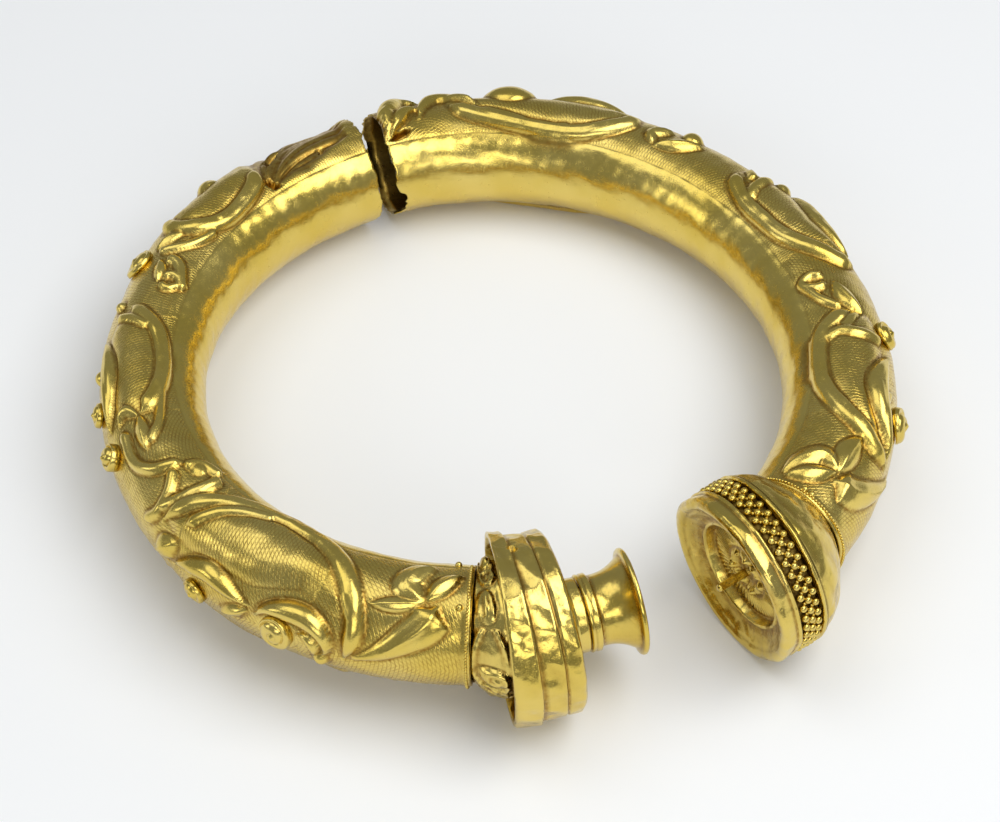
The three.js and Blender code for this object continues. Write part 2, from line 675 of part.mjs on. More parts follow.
const channelFloor = cupRadius - channelDepth;
const cupProfile = [
  [cupFloor, 0],
  [cupFloor, studRadius],
  [studTip, studRadius * 0.9],
  [studTip - 0.4, 0],
];
const mouthProfile = [
  [0, cupRadius - lipWidth],
  [cupStep.depth * 0.5, cupRadius - lipWidth - 2.4],
  [cupStep.depth, cupStep.radius + 0.6],
  [cupStep.depth - 0.4, cupStep.radius],
  [cupFloor, cupStep.radius - 1.0],
  [cupFloor, 6.2],
  [cupFloor - 1.6, 5.6],
  [cupFloor - 1.2, 4.0],
  [cupFloor - 0.4, 2.2],
  [cupFloor - 0.4, 0],
];
const collarFoot = tubeRadius + 1.2;
const collarCurve = (k) => collarFoot + (cupRadius - 0.4 - collarFoot) * Math.cos((Math.PI / 2) * k);
const cupOuter = [
  [0, cupRadius - 0.2],
  [0.4, cupRadius],
  [cupBand, cupRadius - 0.3],
  [cupBand + 0.3, channelFloor],
  [channelEnd - 0.3, channelFloor],
  [channelEnd, cupRadius - 0.3],
];
for (let i = 1; i <= 6; i += 1) {
  const k = i / 6;
  cupOuter.push([channelEnd + (collarEnd - channelEnd) * k, collarCurve(k)]);
}
const cupInside = [
  [collarEnd, tubeRadius - sheet],
  [channelEnd + 5, 15.6],
  [channelEnd, channelFloor - sheet],
  [cupFloor + sheet, channelFloor - sheet],
  [cupFloor + sheet, 0],
];

const cupSolid = () => {
  const stud = cupProfile.slice(1, 4).reverse();
  const face = mouthProfile.slice(0, -1).reverse();
  return turned([...stud, ...face, ...cupOuter, ...cupInside], cupFrame, 30);
};

// Three staggered rows of beads on a thin band seated in the channel
const beadBand = () => {
  const solid = new Solid();
  const around = beadsAround * 2;
  const from = cupBand + 0.3 + seamGap;
  const to = channelEnd - 0.3 - seamGap;
  const width = to - from;
  const seat = channelFloor + seamGap;
  const at = (s, r, k, count) => {
    const { centre, out, up } = cupFrame(s);
    const a = (2 * Math.PI * k) / count;
    return centre.clone().addScaledVector(out, r * Math.cos(a)).addScaledVector(up, r * Math.sin(a)).toArray();
  };
  const rows = [];
  for (let row = 0; row <= beadRows + 1; row += 1) {
    const s = row === 0 ? from : row > beadRows ? to : from + (width * (row - 0.5)) / beadRows;
    const ids = [];
    for (let k = 0; k < around; k += 1) {
      const edge = row === 0 || row > beadRows;
      const top = !edge && (k + row) % 2 === 0 ? 2 * bead : 0.35;
      ids.push(solid.add(at(s, seat + 0.6 + (edge ? 0 : top), k, around)));
    }
    rows.push(ids);
  }
  const under = [from, to].map((s) => {
    const ids = [];
    for (let k = 0; k < beadsAround; k += 1) ids.push(solid.add(at(s, seat + 0.1, k, beadsAround)));
    return ids;
  });
  for (let row = 1; row < rows.length; row += 1) {
    for (let k = 0; k < around; k += 1) {
      const n = (k + 1) % around;
      const a = rows[row - 1];
      const b = rows[row];
      if ((k + row) % 2 === 0) solid.quad(a[k], a[n], b[n], b[k]);
      else solid.quad(a[n], b[n], b[k], a[k]);
    }
  }
  for (let k = 0; k < beadsAround; k += 1) {
    const n = (k + 1) % beadsAround;
    const [first, last] = [rows[0], rows[rows.length - 1]];
    const mid = 2 * k + 1;
    const next = (2 * k + 2) % around;
    solid.face(under[0][k], first[mid], first[2 * k]);
    solid.face(under[0][k], under[0][n], first[mid]);
    solid.face(under[0][n], first[next], first[mid]);
    solid.face(under[1][k], last[2 * k], last[mid]);
    solid.face(under[1][k], last[mid], under[1][n]);
    solid.face(under[1][n], last[mid], last[next]);
    solid.quad(under[0][n], under[0][k], under[1][k], under[1][n]);
  }
  return solid;
};

// Ring frame to resting frame: gap to the front, terminals raised by their own size, flat spots
const toRest = new THREE.Matrix4()
  .makeRotationX(tiltOfRing * deg)
  .multiply(new THREE.Matrix4().makeRotationY(leanOfRing * deg))
  .multiply(new THREE.Matrix4().makeRotationZ(turnToFront * deg));

const bodies = [
  ["left_tube", tubeSolid(leftHalf, {
    strokes: withFarSide(leftStrokes),
    panels: withFarPanels(leftPanels),
    domes: leftDomes,
    bosses: leftBosses,
    dent: readPanel(dent),
  }), tubeGold],
  ["right_tube", tubeSolid(rightHalf, {
    strokes: withFarSide(rightStrokes),
    panels: withFarPanels(rightPanels),
    domes: rightDomes,
    bosses: rightBosses,
  }), tubeGold],
  ["drum_terminal", turned(drumProfile, drumFrame, 30, neckRise), castGold],
  ["tenon_spool", turned(spoolProfile, drumFrame, 22), castGold],
  ["cup_terminal", cupSolid(), castGold],
  ["bead_band", beadBand(), beadGold],
];
leftBosses.forEach((boss, i) => bodies.push([`snail_boss_left_${i + 1}`, bossSolid(leftHalf, boss), castGold]));
rightBosses.forEach((boss, i) => bodies.push([`snail_boss_right_${i + 1}`, bossSolid(rightHalf, boss), castGold]));

for (const [, solid] of bodies) {
  solid.points = solid.points.map((p) => new THREE.Vector3(...p).applyMatrix4(toRest));
}
const everyPoint = bodies.flatMap(([, solid]) => solid.points);
const box = new THREE.Box3().setFromPoints(everyPoint);
const floor = box.min.z + flatSpot;
const middle = box.getCenter(new THREE.Vector3());

const torc = new THREE.Group();
torc.name = "torc";
for (const [name, solid, material] of bodies) {
  const flat = [];
  for (const p of solid.points) flat.push(p.x - middle.x, p.y - middle.y, Math.max(0, p.z - floor));
  const geometry = new THREE.BufferGeometry();
  geometry.setAttribute("position", new THREE.Float32BufferAttribute(flat, 3));
  let volume = 0;
  for (const [a, b, c] of solid.faces) {
    const [p, q, r] = [solid.points[a], solid.points[b], solid.points[c]];
    volume += p.dot(new THREE.Vector3().crossVectors(q, r));
  }
  const order = volume < 0 ? ([a, b, c]) => [a, c, b] : (f) => f;
  geometry.setIndex(solid.faces.flatMap(order));
  geometry.computeVertexNormals();
  const mesh = new THREE.Mesh(geometry, material);
  mesh.name = name;
  torc.add(mesh);
}

export default torc;
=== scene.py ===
import math

import bmesh
import bpy
import numpy as np
from mathutils import Matrix, Vector


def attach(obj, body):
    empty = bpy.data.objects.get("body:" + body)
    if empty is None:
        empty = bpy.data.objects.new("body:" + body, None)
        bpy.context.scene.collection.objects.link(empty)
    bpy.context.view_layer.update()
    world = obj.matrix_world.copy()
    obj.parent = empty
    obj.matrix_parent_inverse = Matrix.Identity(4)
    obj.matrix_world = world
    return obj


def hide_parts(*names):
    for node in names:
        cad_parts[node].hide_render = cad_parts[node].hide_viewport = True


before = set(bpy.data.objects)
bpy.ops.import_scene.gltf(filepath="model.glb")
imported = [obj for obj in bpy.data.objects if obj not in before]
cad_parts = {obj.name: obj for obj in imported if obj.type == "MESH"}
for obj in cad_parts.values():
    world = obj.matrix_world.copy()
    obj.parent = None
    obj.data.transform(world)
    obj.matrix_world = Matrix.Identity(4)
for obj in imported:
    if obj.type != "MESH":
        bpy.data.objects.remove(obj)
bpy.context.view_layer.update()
print("frame loaded")

deg = math.pi / 180
mm = 0.001

# Where the ring lies: centre of the ring in the resting frame, and how it is turned and tipped
ring = {
    "radius": 82.5,
    "tube": 13.1,
    "sheet": 0.6,
    "centre": (1.2108, 4.1526, 18.5744),
    "turn": -24.0,
    "tilt": -2.32,
    "lean": 1.47,
    "restHeight": 0.0,
}

# The chased sheet reaches from the outer side to the seam angle, and the rest of the tube is plain
tubeSizes = {
    "columns": 400,
    "rows": 222,
    "plainRows": 28,
    "innerColumns": 90,
    "innerRows": 36,
    "plainFrom": 120.0,
    "seamAngle": 118.0,
    "seamDepth": 0.12,
    "seamWidth": 0.4,
    "rimHeight": 0.35,
    "rimFromEnd": 0.9,
}

halves = {
    "left": {
        "torn": 115.5, "seam": 266.0, "notch": None,
        "shift": (-0.18, 1.68), "oval": (1.03, 1.42),
        "swell": [(112, 0.9), (140, 1.4), (155, 0.6), (168, -0.6), (200, -0.9), (215, -0.4),
                  (230, 0.8), (246, 1.2), (262, 0.9)],
    },
    "right": {
        "torn": 110.6, "seam": -37.5, "notch": (174, 226),
        "shift": (0.19, -1.64), "oval": (-0.97, -1.16),
        "swell": [(-36, 1.4), (-20, 1.4), (0, 1.0), (40, 0.2), (90, 0.5), (112, 0.4)],
    },
}

# Waves of the torn edge and of its ragged notch: size, count round the tube, phase
tornWaves = {
    "edge": [(0.22, 3, 1), (0.16, 7, 0), (0.12, 13, 2)],
    "fine": [(1, 29, 0), (0.7, 47, 1)],
    "notch": [(0.35, 31, 0), (0.3, 53, 1)],
    "notchDepth": 1.5,
    "reach": 6,
}

# Loops that frame the swelling panels, shared by a ridge and its panel: bearing and angle in pairs
loops = {
    "leftLow": (218, 68, 221.5, 92, 227, 110, 233, 117, 240, 109, 245, 90, 248.5, 62),
    "leftMiddle": (174.5, 76, 179, 100, 186, 108.5, 192, 102, 196, 85, 197.3, 72),
    "leftHigh": (138, 92, 143, 104, 150, 104, 153.5, 86),
    "rightLow": (5, 66, 4.2, 84, 0, 108, -6, 113.5, -12, 108, -17, 88, -20, 60),
    "rightMiddle": (44, 72, 43, 86, 38, 102, 32, 104.5, 26, 99, 21, 79, 17.8, 53),
    "rightHigh": (98.5, 72, 96, 86, 90, 102, 81, 112, 74, 109, 69, 93, 66, 74),
}

# Ornament: kind, half width, height, then bearing and angle round the tube in pairs
ornament = {
    "left": {
        "strokes": [
            ("ridge", 1.8, 1.6, 215.5, 30, *loops["leftLow"], 250, 30, 248.5, -10),
            ("ridge", 1.3, 0.9, 220.5, 50, 223, 80, 225.5, 95, 231, 112),
            ("leaf", 2.9, 1.3, 259, 66, 256, 82, 256.6, 96, 259.6, 110),
            ("leaf", 2.1, 1.3, 259.3, 67, 261.2, 84, 264.2, 100),
            ("leaf", 1.5, 1.0, 251.5, 58, 255, 61.5, 259, 66),
            ("tail", 4.2, 1.5, 260.8, 60, 259.6, 45, 256.6, 28, 253.4, 12, 250, 0),
            ("crescent", 1.9, 2.2, 235.4, 10, 237, 23, 240.2, 30, 243.4, 29.5, 245.8, 20, 246.6, 6,
             245.6, -7),
            ("crescent", 1.2, 1.5, 242.2, 13, 243.8, 12, 244.9, 4, 244.6, -9),
            ("crescent", 1.9, 2.0, 220.5, 6, 222, 15, 227, 27, 232, 21, 234.5, 17),
            ("leaf", 1.3, 1.2, 229.5, -8, 232, 2, 234.2, 12),
            ("leaf", 2.6, 1.5, 216, 0, 218, 14, 220, 28),
            ("ridge", 1.2, 1.0, 211, 88, 212, 106, 216, 116),
            ("ridge", 1.4, 1.3, 216.8, 112, 217.2, 95, 216, 65, 214, 40),
            ("ridge", 1.2, 1.2, 210.5, 80, 213.5, 60, 214.2, 38, 212.5, 17),
            ("ridge", 1.3, 1.2, 210.3, 92, 208.5, 63, 205, 47, 198, 49),
            ("leaf", 1.7, 1.2, 197.3, 73, 200.5, 70, 204.3, 66),
            ("ridge", 1.0, 0.9, 193, 103, 200, 90, 203.8, 70),
            ("leaf", 1.2, 0.9, 197.5, 72, 195.6, 58, 197, 44),
            ("ridge", 1.7, 1.5, 172.5, 60, *loops["leftMiddle"]),
            ("ridge", 1.3, 0.9, 175, 50, 176.4, 72, 178.5, 92),
            ("crescent", 1.9, 2.0, 178, 32, 180, 40, 186, 46, 192, 40, 196.5, 30),
            ("ridge", 1.3, 1.1, 161.5, 78, 162.5, 94, 168.5, 112),
            ("ridge", 0.9, 0.9, 166.4, 84, 165.2, 95, 167, 106, 168.6, 95, 167.4, 84),
            ("leaf", 1.4, 1.1, 162, 72, 164, 77, 167, 81),
            ("ridge", 1.7, 1.5, 136, 75, *loops["leftHigh"], 154.4, 62, 152, 38),
            ("ridge", 1.1, 1.0, 152, 107, 156, 99, 158.8, 83, 160.3, 62),
            ("leaf", 1.5, 1.0, 155.5, 79, 156.6, 68, 159.6, 58),
        ],
        "domes": [(245.5, -12, 1.9, 1.7), (142.5, 44, 3.0, 1.8), (171.5, 43, 1.7, 1.5),
                  (212.9, 101, 2.3, 0.9), (185, 30, 2.2, 2.0)],
        "bosses": [(239, 2, 4.2, 3.6), (224.5, -10, 3.2, 3.0), (200, 21, 3.4, 4.8), (190.5, 14, 3.1, 3.2),
                   (161.5, 38, 4.2, 2.8)],
        "panels": [
            (1.7, 7.0, 216.5, 40, *loops["leftLow"], 249, 38, 247, 38, 241, 52, 234.5, 38, 226, 34, 219, 32),
            (1.5, 5.5, 173, 50, *loops["leftMiddle"], 196.5, 48, 190, 46, 184, 46, 178, 40),
            (1.6, 6.0, 136, 60, 136, 75, *loops["leftHigh"], 154.4, 62, 152, 40, 146, 50, 140, 52),
        ],
        "compasses": [(232, 70, 10), (255, 30, 200), (208, 60, 80), (186, 80, 10), (166, 60, 150),
                      (146, 80, 20)],
        "rivets": [(264.2, 64), (263, 125)],
    },
    "right": {
        "strokes": [
            ("ridge", 1.8, 1.6, *loops["rightLow"], -21.5, 35, -22, 12),
            ("ridge", 1.3, 0.9, -0.5, 45, -0.7, 72, -0.2, 92, -2, 108),
            ("ridge", 1.0, 0.8, 5, 69, 3, 77, 0.5, 86),
            ("leaf", 2.4, 1.3, -21.5, 57, -25.5, 62.5, -30, 62),
            ("leaf", 2.5, 1.3, -30, 62, -28.3, 82, -30.6, 98, -34.8, 109),
            ("leaf", 2.1, 1.3, -30.4, 64, -33, 84, -35.4, 104),
            ("tail", 3.8, 1.5, -31.6, 58, -31, 42, -28.4, 25, -25, 10, -21.5, 0),
            ("crescent", 2.2, 2.4, -2, 32, -4, 43, -10, 53, -15, 44, -20.5, 17),
            ("crescent", 1.2, 1.2, -8.5, 26, -10.5, 38, -13, 41, -15, 28),
            ("leaf", 2.0, 1.4, 5, 60, 8.5, 73, 12.5, 80),
            ("ridge", 1.0, 1.0, 12.4, 86, 11.8, 98, 13.4, 112, 15, 99, 14, 86),
            ("ridge", 1.0, 0.9, 14, 114, 8.2, 96, 6, 80),
            ("ridge", 1.7, 1.5, *loops["rightMiddle"], 18, 33),
            ("ridge", 1.3, 0.9, 37, 101, 38.6, 84, 39, 55),
            ("ridge", 1.0, 0.8, 43, 62, 40.3, 76),
            ("crescent", 1.8, 1.9, 20, 28, 22, 38, 28, 43, 34, 36, 38, 24),
            ("leaf", 2.0, 1.3, 60, 97, 57, 86, 52.4, 66),
            ("leaf", 1.7, 1.2, 60.4, 95, 61.6, 80, 58.6, 62),
            ("ridge", 1.7, 1.5, *loops["rightHigh"], 65, 52),
            ("ridge", 0.9, 0.8, 93.5, 88, 87.5, 99, 81, 108.5, 75, 104),
            ("crescent", 1.8, 1.9, 68, 28, 71, 40, 77, 44, 82, 34),
            ("lobe", 2.2, 2.3, 109.9, 108, 109.2, 84, 107.4, 60, 105, 46, 102.8, 54),
            ("lobe", 1.6, 1.9, 109.3, 109, 107.6, 92, 105.4, 78, 103.2, 74),
            ("lobe", 1.7, 1.6, 103.6, 94, 102.2, 70, 99.6, 52, 96.4, 62, 93, 84),
        ],
        "domes": [(87.5, 48, 7.2, 3.2), (55.5, 54, 3.0, 2.0), (37, 46, 2.6, 1.8)],
        "bosses": [(3, 31, 3.6, 3.4), (-12, 8, 4.2, 3.8), (28.5, 16, 3.6, 3.2)],
        "panels": [
            (1.7, 6.5, 5, 52, *loops["rightLow"], -20.5, 38, -15, 46, -10, 55, -4, 46, 1, 40),
            (1.7, 6.5, 44, 60, *loops["rightMiddle"], 19, 38, 28, 47, 36, 42, 41, 48),
            (1.6, 6.5, 98.5, 60, *loops["rightHigh"], 65, 50, 71, 46, 77, 50, 86, 52),
        ],
        "compasses": [(-8, 75, 10), (-27, 40, 200), (14, 60, 80), (30, 75, 10), (56, 70, 150),
                      (82, 80, 20)],
        "rivets": [(-36.3, 78), (-36.4, 70)],
    },
}

# Drum terminal along its own axis from the rear rim
drum = {
    "at": (0.3, -82.4, -0.7), "bearing": 15.2, "rise": 2.9,
    "neck": 6.0, "rearFrom": -0.8, "rearTo": 3.9, "rear": 22.3,
    "middleTo": 9.4, "middle": 21.3, "frontTo": 13.8, "front": 21.2,
    "wall": 1.0, "stub": 8.9, "stubEnd": 18.4,
    "spoolRing": 2.6, "spoolEnd": 31.0, "waist": 8.2, "flare": 12.4,
    "neckFlare": 2.6, "neckRepeats": 3, "neckPlaces": (98, 68, 48, 1),
    "pinAngle": 105.5, "pinAlong": 4.7, "pinDepth": 4.5,
    "around": 320, "spoolAround": 120,
}

# Cup terminal along its own axis from the mouth's rim
cup = {
    "at": (52.0, -68.3, -0.25), "bearing": 32.8, "rise": 5.9,
    "radius": 21.4, "lip": 3.0, "band": 4.8, "channelEnd": 11.0, "channelDepth": 2.3, "collarEnd": 22.2,
    "stepDepth": 3.2, "stepRadius": 13.3, "floor": 5.2, "stud": 1.0, "studTip": -2.8,
    "flutes": 29, "fluteDepth": 0.5,
    "around": 360, "seatAround": 160, "beads": 44, "beadRows": 3, "bead": 0.98, "grain": 0.52,
}

# Beaded edging along the seams of the tubes, and the rivet heads
edging = {"radius": 0.42, "apart": 3.4, "reach": 120, "fromEnd": 0.62, "out": 0.35}
rivet = {"radius": 0.85, "out": 0.15}

look = {
    "gold": (0.70, 0.515, 0.10),
    # The deep gold is the painted shade colour for hollows, grooves and recesses
    "shadeGold": (0.30, 0.16, 0.025),
    "paleGold": (0.86, 0.70, 0.25),
    # The channel colour is near-black painted shade for the seat between the beads
    "channel": (0.09, 0.045, 0.01),
    "roughness": 0.24,
    "hatchPitch": 0.84,
    "hatchRadius": 34,
    "hatchCrossing": 38,
}

# How much wider and higher each kind of stroke is than its listed sizes
strokeKinds = {
    "ridge": (1.3, 1.15),
    "leaf": (1.2, 1.4),
    "crescent": (1.35, 1.4),
    "lobe": (1.3, 1.3),
    "tail": (1.2, 1.6),
}

# Torn and sunken places: depth, width of the slope, then the outline in bearing and angle
sunken = {
    "left": [
        (2.2, 3.2, 135, 20, 136.5, 70, 137.8, 96, 137, 116, 131, 112, 128, 115, 124, 108, 120, 100,
         117.2, 92, 116.2, 60, 116.4, 20, 124, 10, 130, 12),
        (4.5, 0.8, 131, 42, 128, 43, 126, 41, 127.5, 50, 131, 70, 133.6, 80, 133, 60),
        (4.5, 0.8, 135.4, 92, 135, 102, 134.6, 114, 136.6, 114, 137.4, 104, 136.6, 94),
        (3.2, 0.4, 123.2, 86, 122.6, 92, 123.6, 100, 124.6, 99, 123.8, 92, 124.2, 86),
    ],
    "right": [
        (2.6, 0.6, 109.9, 113, 108.5, 107, 106.2, 100.5, 105.4, 105, 106.6, 113, 108.4, 115.5),
    ],
}


def clampUnit(x):
    return np.clip(x, 0.0, 1.0)


def smooth(a, b, x):
    t = clampUnit((np.asarray(x, float) - a) / (b - a))
    return t * t * (3 - 2 * t)


def turnMatrix():
    tilt = Matrix.Rotation(ring["tilt"] * deg, 3, "X")
    lean = Matrix.Rotation(ring["lean"] * deg, 3, "Y")
    turn = Matrix.Rotation(ring["turn"] * deg, 3, "Z")
    return tilt @ lean @ turn


restTurn = np.array(turnMatrix())
restShift = np.array(ring["centre"])


def toRest(points):
    placed = np.asarray(points, float) @ restTurn.T + restShift
    placed[:, 2] = np.maximum(placed[:, 2], ring["restHeight"])
    return placed * mm


chartU = deg * (ring["radius"] + 5)
chartV = deg * ring["tube"]


def stretchAt(v):
    return (ring["radius"] + ring["tube"] * np.cos(v / ring["tube"])) / (ring["radius"] + 5)


def splinePath(places, spacing):
    # Centripetal curve through chart points, resampled at even steps
    p = np.array(places, float).reshape(-1, 2) * (chartU, chartV)
    p = np.vstack([2 * p[0] - p[1], p, 2 * p[-1] - p[-2]])
    out = []
    for i in range(1, len(p) - 2):
        x0, x1, x2, x3 = p[i - 1:i + 3]
        d0, d1, d2 = (max(1e-4, np.linalg.norm(b - a)) ** 0.5 for a, b in ((x0, x1), (x1, x2), (x2, x3)))
        t1 = ((x1 - x0) / d0 - (x2 - x0) / (d0 + d1) + (x2 - x1) / d1) * d1
        t2 = ((x2 - x1) / d1 - (x3 - x1) / (d1 + d2) + (x3 - x2) / d2) * d1
        t = np.linspace(0, 1, 24, endpoint=False)[:, None]
        out.append(x1 + t1 * t + (3 * (x2 - x1) - 2 * t1 - t2) * t ** 2 + (2 * (x1 - x2) + t1 + t2) * t ** 3)
    out.append(p[-2:-1])
    line = np.vstack(out)
    run = np.concatenate([[0], np.cumsum(np.linalg.norm(np.diff(line, axis=0), axis=1))])
    count = max(4, int(run[-1] / spacing))
    at = np.linspace(0, run[-1], count + 1)
    return np.stack([np.interp(at, run, line[:, 0]), np.interp(at, run, line[:, 1]), at / run[-1]], 1)


def alongStroke(kind, t):
    if kind == "ridge":
        return smooth(0, 0.1, t) * smooth(0, 0.1, 1 - t)
    if kind == "leaf":
        return np.sin(math.pi * clampUnit(t)) ** 0.7
    if kind in ("crescent", "lobe"):
        return np.sin(math.pi * clampUnit(t))
    return smooth(-0.04, 0.1, t) * (1 - clampUnit(t)) ** 0.75


def readStrokes(side):
    strokes = []
    for kind, half, height, *places in ornament[side]["strokes"]:
        path = splinePath(places, 1.0)
        half *= strokeKinds[kind][0]
        height *= strokeKinds[kind][1]
        strokes.append({"kind": kind, "half": half, "height": height, "path": path})
        if kind != "lobe" and path[:, 1].min() > 22 * chartV:
            strokes.append({"kind": kind, "half": half, "height": height, "path": path * (1, -1, 1)})
    return strokes


def nearestOnPath(path, u, v, stretch):
    best = np.full(u.shape, 1e9)
    at = np.zeros(u.shape)
    for a, b in zip(path[:-1], path[1:]):
        du = (b[0] - a[0]) * stretch
        dv = b[1] - a[1]
        pu = (u - a[0]) * stretch
        pv = v - a[1]
        k = clampUnit((pu * du + pv * dv) / (du * du + dv * dv))
        d = np.hypot(pu - k * du, pv - k * dv)
        closer = d < best
        best = np.where(closer, d, best)
        at = np.where(closer, a[2] + (b[2] - a[2]) * k, at)
    return best, at


def insideDepth(places, u, v, mirrored=False):
    # Distance in from the outline for points inside it, zero outside
    p = np.array(places, float).reshape(-1, 2) * (chartU, chartV)
    if mirrored:
        p = p * (1, -1)
    inside = np.zeros(u.shape, bool)
    near = np.full(u.shape, 1e9)
    for a, b in zip(p, np.roll(p, -1, axis=0)):
        crosses = (a[1] > v) != (b[1] > v)
        rise = b[1] - a[1] if b[1] != a[1] else 1e-9
        inside ^= crosses & (u < (b[0] - a[0]) * (v - a[1]) / rise + a[0])
        step = b - a
        k = clampUnit(((u - a[0]) * step[0] + (v - a[1]) * step[1]) / (step @ step))
        near = np.minimum(near, np.hypot(u - a[0] - k * step[0], v - a[1] - k * step[1]))
    return np.where(inside, near, 0.0)


def panelsOn(side, u, v):
    base = np.zeros(u.shape)
    for rise, width, *places in ornament[side]["panels"]:
        for mirrored in (False, True):
            k = clampUnit(insideDepth(places, u, v, mirrored) / width)
            base = np.maximum(base, rise * (1 - (1 - k) ** 2))
    return base


def reliefOn(side, u, v):
    stretch = stretchAt(v)
    height = np.zeros(u.shape)
    raised = np.zeros(u.shape)
    for stroke in readStrokes(side):
        path = stroke["path"]
        reach = stroke["half"] * 1.6 + 0.5
        near = (u > path[:, 0].min() - reach * 1.2) & (u < path[:, 0].max() + reach * 1.2)
        near &= (v > path[:, 1].min() - reach) & (v < path[:, 1].max() + reach)
        if not near.any():
            continue
        d, t = nearestOnPath(path, u[near], v[near], stretch[near])
        full = alongStroke(stroke["kind"], t)
        half = stroke["half"] * np.maximum(full, 0.15)
        q = d / half
        body = np.clip(1 - q * q, 0, 1) ** 0.8
        if stroke["kind"] in ("leaf", "tail"):
            body = 0.8 * body + 0.2 * (1 - np.minimum(1, 4 * q)) * (q < 1)
        rise = stroke["height"] * full ** 0.6 * body
        tool = -0.16 * np.exp(-((q - 1.12) * half / 0.35) ** 2) * np.minimum(1, full * 2)
        now = height[near]
        lowered = np.where(now > 0, now, np.minimum(now, tool))
        height[near] = np.where(rise > 0, np.maximum(now, rise), lowered)
        raised[near] = np.maximum(raised[near], smooth(1.25, 0.9, q) * (full > 0.03))
    for bearing, angle, radius, rise in ornament[side]["domes"]:
        q = np.hypot((u - bearing * chartU) * stretch, v - angle * chartV) / radius
        height = np.maximum(height, np.where(q < 1, rise * np.clip(1 - q * q, 0, 1) ** 0.7, -9))
        raised = np.maximum(raised, smooth(1.15, 0.95, q))
    height = height + panelsOn(side, u, v)
    for bearing, angle, radius, rise in ornament[side]["bosses"]:
        q = np.hypot((u - bearing * chartU) * stretch, v - angle * chartV) / (radius + 0.5)
        height = np.where(q < 1, np.minimum(height, 0.0), height)
        raised = np.maximum(raised, smooth(1.1, 0.9, q))
    return height, raised


def hatchOn(side, u, v, turned):
    # Distance from the compass point that serves each patch of ground
    best = np.full(u.shape, 1e9)
    swing = np.zeros(u.shape)
    for bearing, angle, turn in ornament[side]["compasses"]:
        au, av = bearing * chartU, angle * chartV
        d = np.hypot(u - au, np.abs(v) - av)
        cu = au + look["hatchRadius"] * math.cos((turn + turned) * deg)
        cv = av + look["hatchRadius"] * math.sin((turn + turned) * deg)
        away = np.hypot(u - cu, np.abs(v) - cv)
        closer = d < best
        best = np.where(closer, d, best)
        swing = np.where(closer, away, swing)
    return swing


def hollowsOf(height, across, along, depth):
    # How far each point lies below the mean of its neighbours, as a mask for painted shade in hollows
    total = np.zeros(height.shape)
    for i in range(-across, across + 1):
        rows = np.roll(height, i, axis=0)
        for j in range(-along, along + 1):
            total += np.roll(rows, j, axis=1)
    mean = total / ((2 * across + 1) * (2 * along + 1))
    return clampUnit((mean - height) / depth)


def waveSum(waves, a):
    return sum(size * np.sin(count * a + phase) for size, count, phase in waves)


def tornShift(half, bearing, angle, fine=0.0):
    # Torn end, with one ragged notch low on the inner side of the right half
    reach = np.abs(bearing - half["torn"])
    a = angle * deg
    tear = waveSum(tornWaves["edge"], a) + fine * waveSum(tornWaves["fine"], a)
    if half["notch"]:
        low, high = half["notch"]
        turn = np.mod(angle, 360)
        inside = smooth(low, low + 7, turn) * smooth(high, high - 5, turn)
        tear = tear - inside * (tornWaves["notchDepth"] + waveSum(tornWaves["notch"], a))
    return tear * smooth(0, 1, 1 - reach / tornWaves["reach"])


def centreRadius(half, b):
    # Each half of the ring is slightly oval
    return ring["radius"] + half["oval"][0] * np.cos(2 * b) + half["oval"][1] * np.sin(2 * b)


def onTube(half, bearing, angle, out, fine=0.0):
    b = (bearing + tornShift(half, bearing, angle, fine)) * deg
    radius = centreRadius(half, b)
    table = np.array(half["swell"], float)
    swell = np.interp(bearing, table[:, 0], table[:, 1]) * 0.5 * (1 + np.cos(angle * deg))
    r = ring["tube"] + swell + out
    flat = r * np.cos(angle * deg)
    x = half["shift"][0] + (radius + flat) * np.cos(b)
    y = half["shift"][1] + (radius + flat) * np.sin(b)
    return np.stack([x, y, r * np.sin(angle * deg)], -1)


def makeObject(name, points, faces):
    mesh = bpy.data.meshes.new(name)
    mesh.from_pydata([], [], [])
    points = np.asarray(points, np.float32)
    quads = [np.asarray(f) for f in faces if len(f)]
    loops = np.concatenate([f.reshape(-1) for f in quads])
    sizes = np.concatenate([np.full(len(f), f.shape[1]) for f in quads])
    mesh.vertices.add(len(points))
    mesh.vertices.foreach_set("co", points.reshape(-1))
    mesh.loops.add(len(loops))
    mesh.loops.foreach_set("vertex_index", loops.astype(np.int32))
    mesh.polygons.add(len(sizes))
    starts = np.concatenate([[0], np.cumsum(sizes)[:-1]])
    mesh.polygons.foreach_set("loop_start", starts.astype(np.int32))
    mesh.polygons.foreach_set("use_smooth", np.full(len(sizes), True))
    mesh.update(calc_edges=True)
    mesh.validate()
    obj = bpy.data.objects.new(name, mesh)
    bpy.context.scene.collection.objects.link(obj)
    return obj


def setAttribute(obj, name, values):
    layer = obj.data.attributes.new(name, "FLOAT", "POINT")
    layer.data.foreach_set("value", np.asarray(values, np.float32))


def faceOutward(obj):
    work = bmesh.new()
    work.from_mesh(obj.data)
    bmesh.ops.recalc_face_normals(work, faces=work.faces)
    work.to_mesh(obj.data)
    work.free()


def gridQuads(columns, rows, wrap, start=0):
    i, j = np.meshgrid(np.arange(columns - 1), np.arange(rows if wrap else rows - 1), indexing="ij")
    n = (j + 1) % rows
    quads = np.stack([i * rows + j, (i + 1) * rows + j, (i + 1) * rows + n, i * rows + n], -1)
    return quads.reshape(-1, 4) + start


